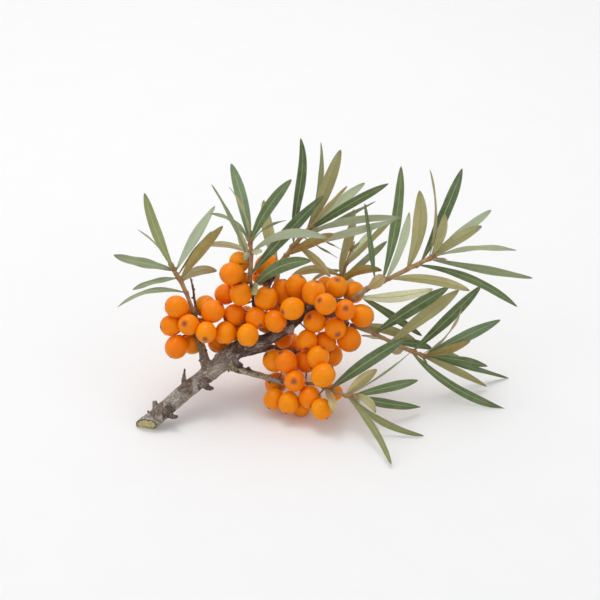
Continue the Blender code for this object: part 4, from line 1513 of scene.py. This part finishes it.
@dataclass
class BerryBunch:
    """A bunch of berries that press on one another, with their tips and their stalks."""

    name: str
    settled: Settled
    finishes: Finishes
    segments: int = 28
    rings: int = 22
    dimple: float = 0.3 * MM
    press_gap: float = 0.03 * MM
    lit: Colour = paint(255, 164, 0)
    rich: Colour = paint(248, 132, 0)
    tip_profile: tuple[tuple[float, float], ...] = (
        (0.66, -0.08), (0.62, 0.06), (0.36, 0.1), (0.3, 0.22), (0.24, 0.42), (0.05, 0.46),
    )
    tip_sides: int = 15
    tip_tone: Colour = paint(134, 94, 74)
    stalk_sides: int = 8
    stalk_steps: int = 8
    stalk_longest: float = 8 * MM
    stalk_stub: float = 1.5 * MM
    stalk_tone: Colour = paint(150, 130, 74)

    def __post_init__(self) -> None:
        """Finds the bunch's own berries and seeds its small irregularities."""
        self.mine = [i for i, name in enumerate(self.settled.bunches) if name == self.name]
        self.luck = random.Random(self.name)

    def nose(self, berry: Berry) -> Vector:
        """The way that the free end of a berry points.

        Args:
            berry: The berry.

        Returns:
            The unit vector.
        """
        nose, face = math.radians(berry.nose), math.radians(berry.face)
        flat = ACROSS * math.cos(nose) + UPWARD * math.sin(nose)
        return flat * math.cos(face) + TOWARD * math.sin(face)

    def pressed(self, point: Vector, i: int) -> Vector:
        """A point of a berry's skin, pushed back where a neighbour presses on it.

        Args:
            point: The point of the free skin.
            i: The berry's number.

        Returns:
            The point of the pressed skin.
        """
        settled = self.settled
        for j, other in enumerate(settled.places):
            away = other - settled.places[i]
            gap = away.length
            if j == i or gap > settled.radii[i] + settled.radii[j]:
                continue
            way = away / gap
            share = settled.radii[i] / (settled.radii[i] + settled.radii[j])
            beyond = (point - settled.places[i]).dot(way) - gap * share + self.press_gap
            if beyond > 0:
                point = point - way * beyond
        return point

    def berry(self, mould: Mould, i: int) -> None:
        """Adds one berry: an egg shape with a dimple at its nose.

        Args:
            mould: What the berry is added to.
            i: The berry's number among the settled ones.
        """
        berry, place = self.settled.berries[i], self.settled.places[i]
        way = self.nose(berry)
        side = way.orthogonal().normalized()
        other = way.cross(side)
        radius = BERRY_ACROSS / 2 * berry.scale
        lobes, phase = self.luck.uniform(0.004, 0.014), self.luck.uniform(0, 2 * math.pi)
        stout = self.luck.uniform(0.98, 1.03)
        rings, marks = [], []
        for k in range(self.rings + 1):
            turn = math.pi * k / self.rings
            from_nose = math.pi - turn
            height = -math.cos(turn) * radius * BERRY_LENGTH_RATIO
            height -= self.dimple * math.exp(-((from_nose / 0.2) ** 2))
            height += self.dimple * math.exp(-((turn / 0.22) ** 2))
            reach = radius * stout * (math.sin(turn) * (1 - 0.035 * math.cos(turn)) + 0.004)
            ring = []
            for angle in turns(self.segments):
                out = reach * (1 + lobes * math.cos(3 * angle + phase))
                point = place + way * height + out * spoke(angle, side, other)
                ring.append(self.pressed(point, i))
            rings.append(ring)
            marks.append(math.exp(-((from_nose / 0.36) ** 2)))
        base = blended(self.lit, self.rich, self.luck.random())
        mould.skin(
            rings,
            lambda k, n: blended(base, self.rich, 0.5 * k / self.rings),
            lambda k, n: (n / self.segments, k / self.rings, marks[k]),
        )

    def tip(self, mould: Mould, i: int) -> None:
        """Adds the dry, star-shaped remnant in the dimple of a berry's nose.

        Args:
            mould: What the remnant is added to.
            i: The berry's number.
        """
        berry, place = self.settled.berries[i], self.settled.places[i]
        way = self.nose(berry)
        side = Matrix.Rotation(self.luck.uniform(0, 6), 3, way) @ way.orthogonal().normalized()
        other = way.cross(side)
        foot = place + way * (BERRY_ACROSS / 2 * berry.scale * BERRY_LENGTH_RATIO - self.dimple - 0.05 * MM)
        foot = self.pressed(foot, i)
        rings = []
        for reach, height in self.tip_profile:
            ring = []
            for angle in turns(self.tip_sides):
                out = reach * MM * berry.scale * (1 + 0.22 * math.cos(5 * angle) * min(reach / 0.6, 1))
                ring.append(foot + way * height * MM + out * spoke(angle, side, other))
            rings.append(ring)
        base = shaded(self.tip_tone, self.luck.uniform(0.7, 1.2))
        mould.skin(rings, lambda k, n: base, lambda k, n: (n / 4, k / 4, i))

    def stalk(self, mould: Mould, i: int, wood: list[tuple[Vector, float]]) -> None:
        """Adds the thin stalk from a berry's foot to the nearest wood.

        Args:
            mould: What the stalk is added to.
            i: The berry's number.
            wood: Points and radii along the bunch's twigs.
        """
        berry, place = self.settled.berries[i], self.settled.places[i]
        way = self.nose(berry)
        foot = place - way * BERRY_ACROSS / 2 * berry.scale * BERRY_LENGTH_RATIO * 0.9
        end, thick = min(wood, key=lambda ring: (ring[0] - foot).length - ring[1])
        if (end - foot).length > self.stalk_longest:
            end = foot - way * self.stalk_stub
        bend = foot - way * min((end - foot).length * 0.4, 1.2 * MM)
        side = (end - foot).orthogonal().normalized()
        rings = []
        for k in range(self.stalk_steps + 1):
            t = k / self.stalk_steps
            middle = (1 - t) ** 2 * foot + 2 * t * (1 - t) * bend + t * t * end
            radius = (0.34 + 0.2 * abs(2 * t - 1) ** 3) * MM
            slope = (2 * (1 - t) * (bend - foot) + 2 * t * (end - bend)).normalized()
            flat = (side - slope * side.dot(slope)).normalized()
            other = slope.cross(flat)
            rings.append([middle + radius * spoke(a, flat, other) for a in turns(self.stalk_sides)])
        base = shaded(self.stalk_tone, self.luck.uniform(0.8, 1.15))
        mould.skin(rings, lambda k, n: base, lambda k, n: (math.cos(n), math.sin(n), k / 3 + i))

    def make(self) -> None:
        """Makes the bunch's pieces and fits them in place of its node."""
        berries, tips, stalks = Mould(), Mould(), Mould()
        wood = wood_chain(BUNCHES[self.name].twigs)
        for i in self.mine:
            self.berry(berries, i)
            self.tip(tips, i)
            self.stalk(stalks, i, wood)
        fit(berries.make(self.name + "_berries", [self.finishes.berry]), self.name)
        fit(tips.make(self.name + "_tips", [self.finishes.calyx]), self.name)
        fit(stalks.make(self.name + "_stalks", [self.finishes.stalk]), self.name)


@dataclass
class Branch:
    """All the old wood: the trunk with its sawn end, its twigs, its thorns and its knots."""

    finishes: Finishes
    name: str = "main_branch"
    grain_size: float = 0.38 * MM
    sides: int = 20
    ridge_depth: float = 0.3 * MM
    crack_depth: float = 0.45 * MM
    cut_reach: float = 9 * MM
    fork_start: float = 40 * MM
    fork_span: float = 12 * MM
    neighbours: int = 5
    collar_depth: float = 0.28 * MM
    cut_margin: float = 0.4 * MM
    cut_sides: int = 40
    cut_rings: int = 14
    cut_tone: Colour = paint(228, 214, 160)
    bud_radius: float = 0.5 * MM
    bud_spacings: tuple[tuple[str, int], ...] = (
        ("left_twig", 5), ("bare_twig", 6), ("bottom_twig", 6), ("lower_twig", 5), ("trunk", 17),
    )

    def __post_init__(self) -> None:
        """Gathers the middle line of every limb, to measure the bark from."""
        self.luck = random.Random(self.name)
        self.samples: list[tuple[Vector, Vector, float, float, Colour]] = []
        for name in LIMBS:
            route = ROUTES[name]
            tone = LIMB_TONES.get(name, TRUNK_TONE)
            rows = zip(route.points, route.tangents(), route.radii, route.lengths())
            for place, way, radius, along in rows:
                # The trunk turns darker from its fork onwards.
                dim = min(max((along - self.fork_start) / self.fork_span, 0), 1) if name == "trunk" else 0
                self.samples.append((place, way, radius, along, blended(tone, FORK_TONE, dim)))
        self.tree = kdtree.KDTree(len(self.samples))
        for i, sample in enumerate(self.samples):
            self.tree.insert(sample[0], i)
        self.tree.balance()

    def slanted(self, rings: list[list[Vector]]) -> list[list[Vector]]:
        """The trunk's rings, slid along it near its foot until the first lies in the cut's plane.

        Args:
            rings: The rings of the trunk.

        Returns:
            The same rings, slanting.
        """
        trunk = ROUTES["trunk"]
        way = trunk.tangents()[0]
        slope = way / way.dot(CUT_FACING)
        slid = []
        for ring, middle, along in zip(rings, trunk.points, trunk.lengths()):
            share = max(1 - along / self.cut_reach, 0)
            slid.append([p - slope * (p - middle).dot(CUT_FACING) * share for p in ring])
        return slid

    def rough_wood(self) -> bpy.types.Object:
        """All the limbs as one body with smooth forks.

        Returns:
            The remeshed wood, before its bark is carved.
        """
        mould = Mould()
        for name in LIMBS:
            shift = self.luck.uniform(0, 50)

            def swell(i: int, angle: float) -> float:
                """Slow swellings along a limb."""
                return 1.0 + 0.09 * noise.noise(Vector((math.cos(angle), math.sin(angle), i / 5 + shift)))

            rings = ROUTES[name].rings(self.sides, swell)
            if name == "trunk":
                rings = self.slanted(rings)
            mould.skin(rings, lambda i, k: TRUNK_TONE, lambda i, k: (0, 0, 0))
        rough = mould.make(self.name + "_rough", [self.finishes.bark])
        remesh = rough.modifiers.new("fuse", "REMESH")
        remesh.mode, remesh.voxel_size = "VOXEL", self.grain_size
        smooth = rough.modifiers.new("soften", "SMOOTH")
        smooth.factor, smooth.iterations = 0.5, 3
        return rough

    def bark(self) -> bpy.types.Object:
        """The carved bark.

        Returns:
            The bark as one piece.
        """
        rough = self.rough_wood()
        graph = bpy.context.evaluated_depsgraph_get()
        mesh = bpy.data.meshes.new_from_object(rough.evaluated_get(graph))
        bpy.data.objects.remove(rough)
        mesh.name = self.name + "_bark"
        tones, spots, moved = [], [], []
        foot = ROUTES["trunk"].points[0]
        for vertex in mesh.vertices:
            place, normal = vertex.co.copy(), vertex.normal.copy()
            near = self.tree.find_n(place, self.neighbours)
            share = [1 / (distance / self.samples[i][2] + 0.05) ** 4 for _, i, distance in near]
            total = sum(share)
            tones_near = [self.samples[i][4] for _, i, _ in near]
            tone = tuple(sum(s * t[c] for s, t in zip(share, tones_near)) / total for c in range(3))
            middle, way, radius, _, _ = self.samples[near[0][1]]
            along = place.dot(way)
            spot = (place - way * along * 0.72) / MM
            fine = noise.fractal(spot * 0.55, 1.0, 2.0, 3)
            cracks = (1 - min(abs(noise.noise(spot * 0.8)) * 6, 1)) ** 2
            thick = min(radius / (3 * MM), 1.15)
            carve = self.ridge_depth * fine * thick - self.crack_depth * cracks * thick * 0.6
            collar = noise.noise(Vector((along / MM * 0.32, radius / MM, 3.0)))
            carve += self.collar_depth * max(collar - 0.25, 0) * thick * 3
            if (place - foot).dot(CUT_FACING) > -self.cut_margin:
                carve = 0
            place += normal * carve
            moved += [place.x, place.y, max(place.z, SURFACE_SKIN)]
            tones += [*shaded(tone, 1 + 0.22 * fine - 0.25 * cracks), 1.0]
            spots += list(spot)
        mesh.vertices.foreach_set("co", moved)
        dress(mesh, tones, spots)
        mesh.materials.clear()
        mesh.materials.append(self.finishes.bark)
        mesh.shade_smooth()
        return placed(self.name + "_bark", mesh)

    def sawn_end(self) -> bpy.types.Object:
        """The rough sawn face at the foot of the trunk.

        Returns:
            The face as a thin, uneven disc.
        """
        route = ROUTES["trunk"]
        start, way, radius = route.points[0], -route.tangents()[0], route.radii[0]
        side = way.cross(TOWARD).normalized()
        other = way.cross(side)
        slope = way / way.dot(CUT_FACING)
        mould = Mould()
        shares = [1.0, *(1 - i / self.cut_rings for i in range(self.cut_rings)), 0.01]
        rings = []
        for i, share in enumerate(shares):
            ring = []
            for angle in turns(self.cut_sides):
                flat = spoke(angle, side, other)
                flat = flat - slope * flat.dot(CUT_FACING)
                spread = Vector((share * 3 * math.cos(angle), share * 3 * math.sin(angle), 7))
                torn = noise.fractal(spread, 1, 2, 4)
                edge = 0.95 + 0.05 * noise.noise(Vector((math.cos(angle) * 2, math.sin(angle) * 2, 1)))
                height = (-0.6 if i == 0 else 0.22 + 0.3 * torn - 0.25 * share**6) * MM
                ring.append(start + flat * radius * edge * share + CUT_FACING * height)
            rings.append(ring)

        def tone(i: int, k: int) -> Colour:
            """Uneven patches of lighter and darker wood."""
            reach = shares[i] * 4
            patch = noise.noise(Vector((reach * math.cos(k / 6), reach * math.sin(k / 6), 2)))
            return shaded(self.cut_tone, 0.95 + 0.3 * patch)

        def spot(i: int, k: int) -> Place:
            """The place over the face, with the share of the radius last."""
            angle = 2 * math.pi * k / self.cut_sides
            return math.cos(angle) * shares[i] * 2, math.sin(angle) * shares[i] * 2, shares[i]

        mould.skin(rings, tone, spot)
        return mould.make(self.name + "_cut", [self.finishes.sawn])

    def buds(self) -> bpy.types.Object:
        """The small dark buds on the wood and at the tips of its spurs.

        Returns:
            The buds as one piece.
        """
        mould = Mould()
        for name in ("thorn", "bare_twig", "middle_spur"):
            route = ROUTES[name]
            bud(mould, route.points[-1], route.tangents()[-1], route.radii[-1], self.luck, OLD_BUD_TONE)
        for name, spacing in self.bud_spacings:
            route = ROUTES[name]
            tangents = route.tangents()
            for i in range(4, len(route.points) - 3, spacing):
                turned = Matrix.Rotation(self.luck.uniform(0, 6.28), 3, tangents[i])
                out = turned @ tangents[i].orthogonal().normalized()
                way = (out + tangents[i] * 0.5).normalized()
                foot = route.points[i] + out * route.radii[i] * 0.9
                bud(mould, foot, way, self.bud_radius, self.luck, OLD_BUD_TONE)
        return mould.make(self.name + "_buds", [self.finishes.bud])

    def make(self) -> None:
        """Makes the branch's pieces and fits them in place of its node."""
        fit(self.bark(), self.name)
        fit(self.sawn_end(), self.name)
        fit(self.buds(), self.name)


@dataclass
class Studio:
    """The pale floor, the soft lights and the camera."""

    finishes: Finishes
    floor_size: float = 8.0
    sensor: float = 36.0
    sky: float = 0.65
    lamps: tuple[tuple[str, Place, float, float], ...] = (
        ("overhead", (-0.2, 0.4, 1.3), 1.4, 6.5),
        ("softbox", (-0.22, 0.25, 1.2), 0.34, 2.7),
        ("front_left", (-1.0, -0.5, 0.9), 0.7, 1.2),
        ("front_right", (1.1, -0.6, 0.8), 1.0, 1.2),
    )

    def lamp(self, name: str, place: Place, size: float, watts: float) -> None:
        """Adds a square soft light that faces the sprig.

        Args:
            name: The light's name.
            place: Where it hangs, in metres.
            size: Its width.
            watts: Its power.
        """
        light = bpy.data.lights.new(name, "AREA")
        light.size, light.energy = size, watts
        made = placed(name, light)
        made.location = place
        made.rotation_euler = (-Vector(place)).to_track_quat("-Z", "Y").to_euler()

    def make(self) -> None:
        """Sets up the floor, the world, the lights and the camera."""
        bpy.ops.mesh.primitive_plane_add(size=self.floor_size)
        floor = bpy.context.object
        floor.name = "floor"
        floor.data.materials.append(self.finishes.floor)
        floor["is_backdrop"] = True
        world = bpy.data.worlds.new("sky")
        world.use_nodes = True
        background = world.node_tree.nodes["Background"]
        background.inputs["Color"].default_value = (1, 1, 1, 1)
        background.inputs["Strength"].default_value = self.sky
        bpy.context.scene.world = world
        bpy.context.scene.view_settings.view_transform = "Standard"
        for name, place, size, watts in self.lamps:
            self.lamp(name, place, size, watts)
        camera = bpy.data.cameras.new("camera")
        camera.sensor_width = self.sensor
        camera.lens = self.sensor * EYE_DISTANCE / (PICTURE_POINTS * PICTURE_POINT)
        made = placed("camera", camera)
        middle = LAYOUT_ZERO + UPWARD * (SURFACE_ROW - MIDDLE_ROW) * PICTURE_POINT
        made.location = middle + TOWARD * EYE_DISTANCE
        made.rotation_euler = (-TOWARD).to_track_quat("-Z", "Y").to_euler()
        bpy.context.scene.camera = made


def write_sizes() -> None:
    """Works out the box of the solids and the box of the finished looks."""
    boxes = {"cad": CAD_BOUNDS, "visual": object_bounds()}
    plain = {name: [[float(c) for c in corner] for corner in box] for name, box in boxes.items()}


def main() -> None:
    """Makes every piece in turn, then the studio."""
    logging.basicConfig(level=logging.INFO, format="%(message)s")
    finishes = Finishes(Effects())
    Branch(finishes).make()
    for name, leaves in LEAVES.items():
        Shoot(name, leaves, finishes).make()
    settled = Settled()
    for name in BUNCHES:
        BerryBunch(name, settled, finishes).make()
    Studio(finishes).make()
    write_sizes()


if __name__ == "__main__":
    main()
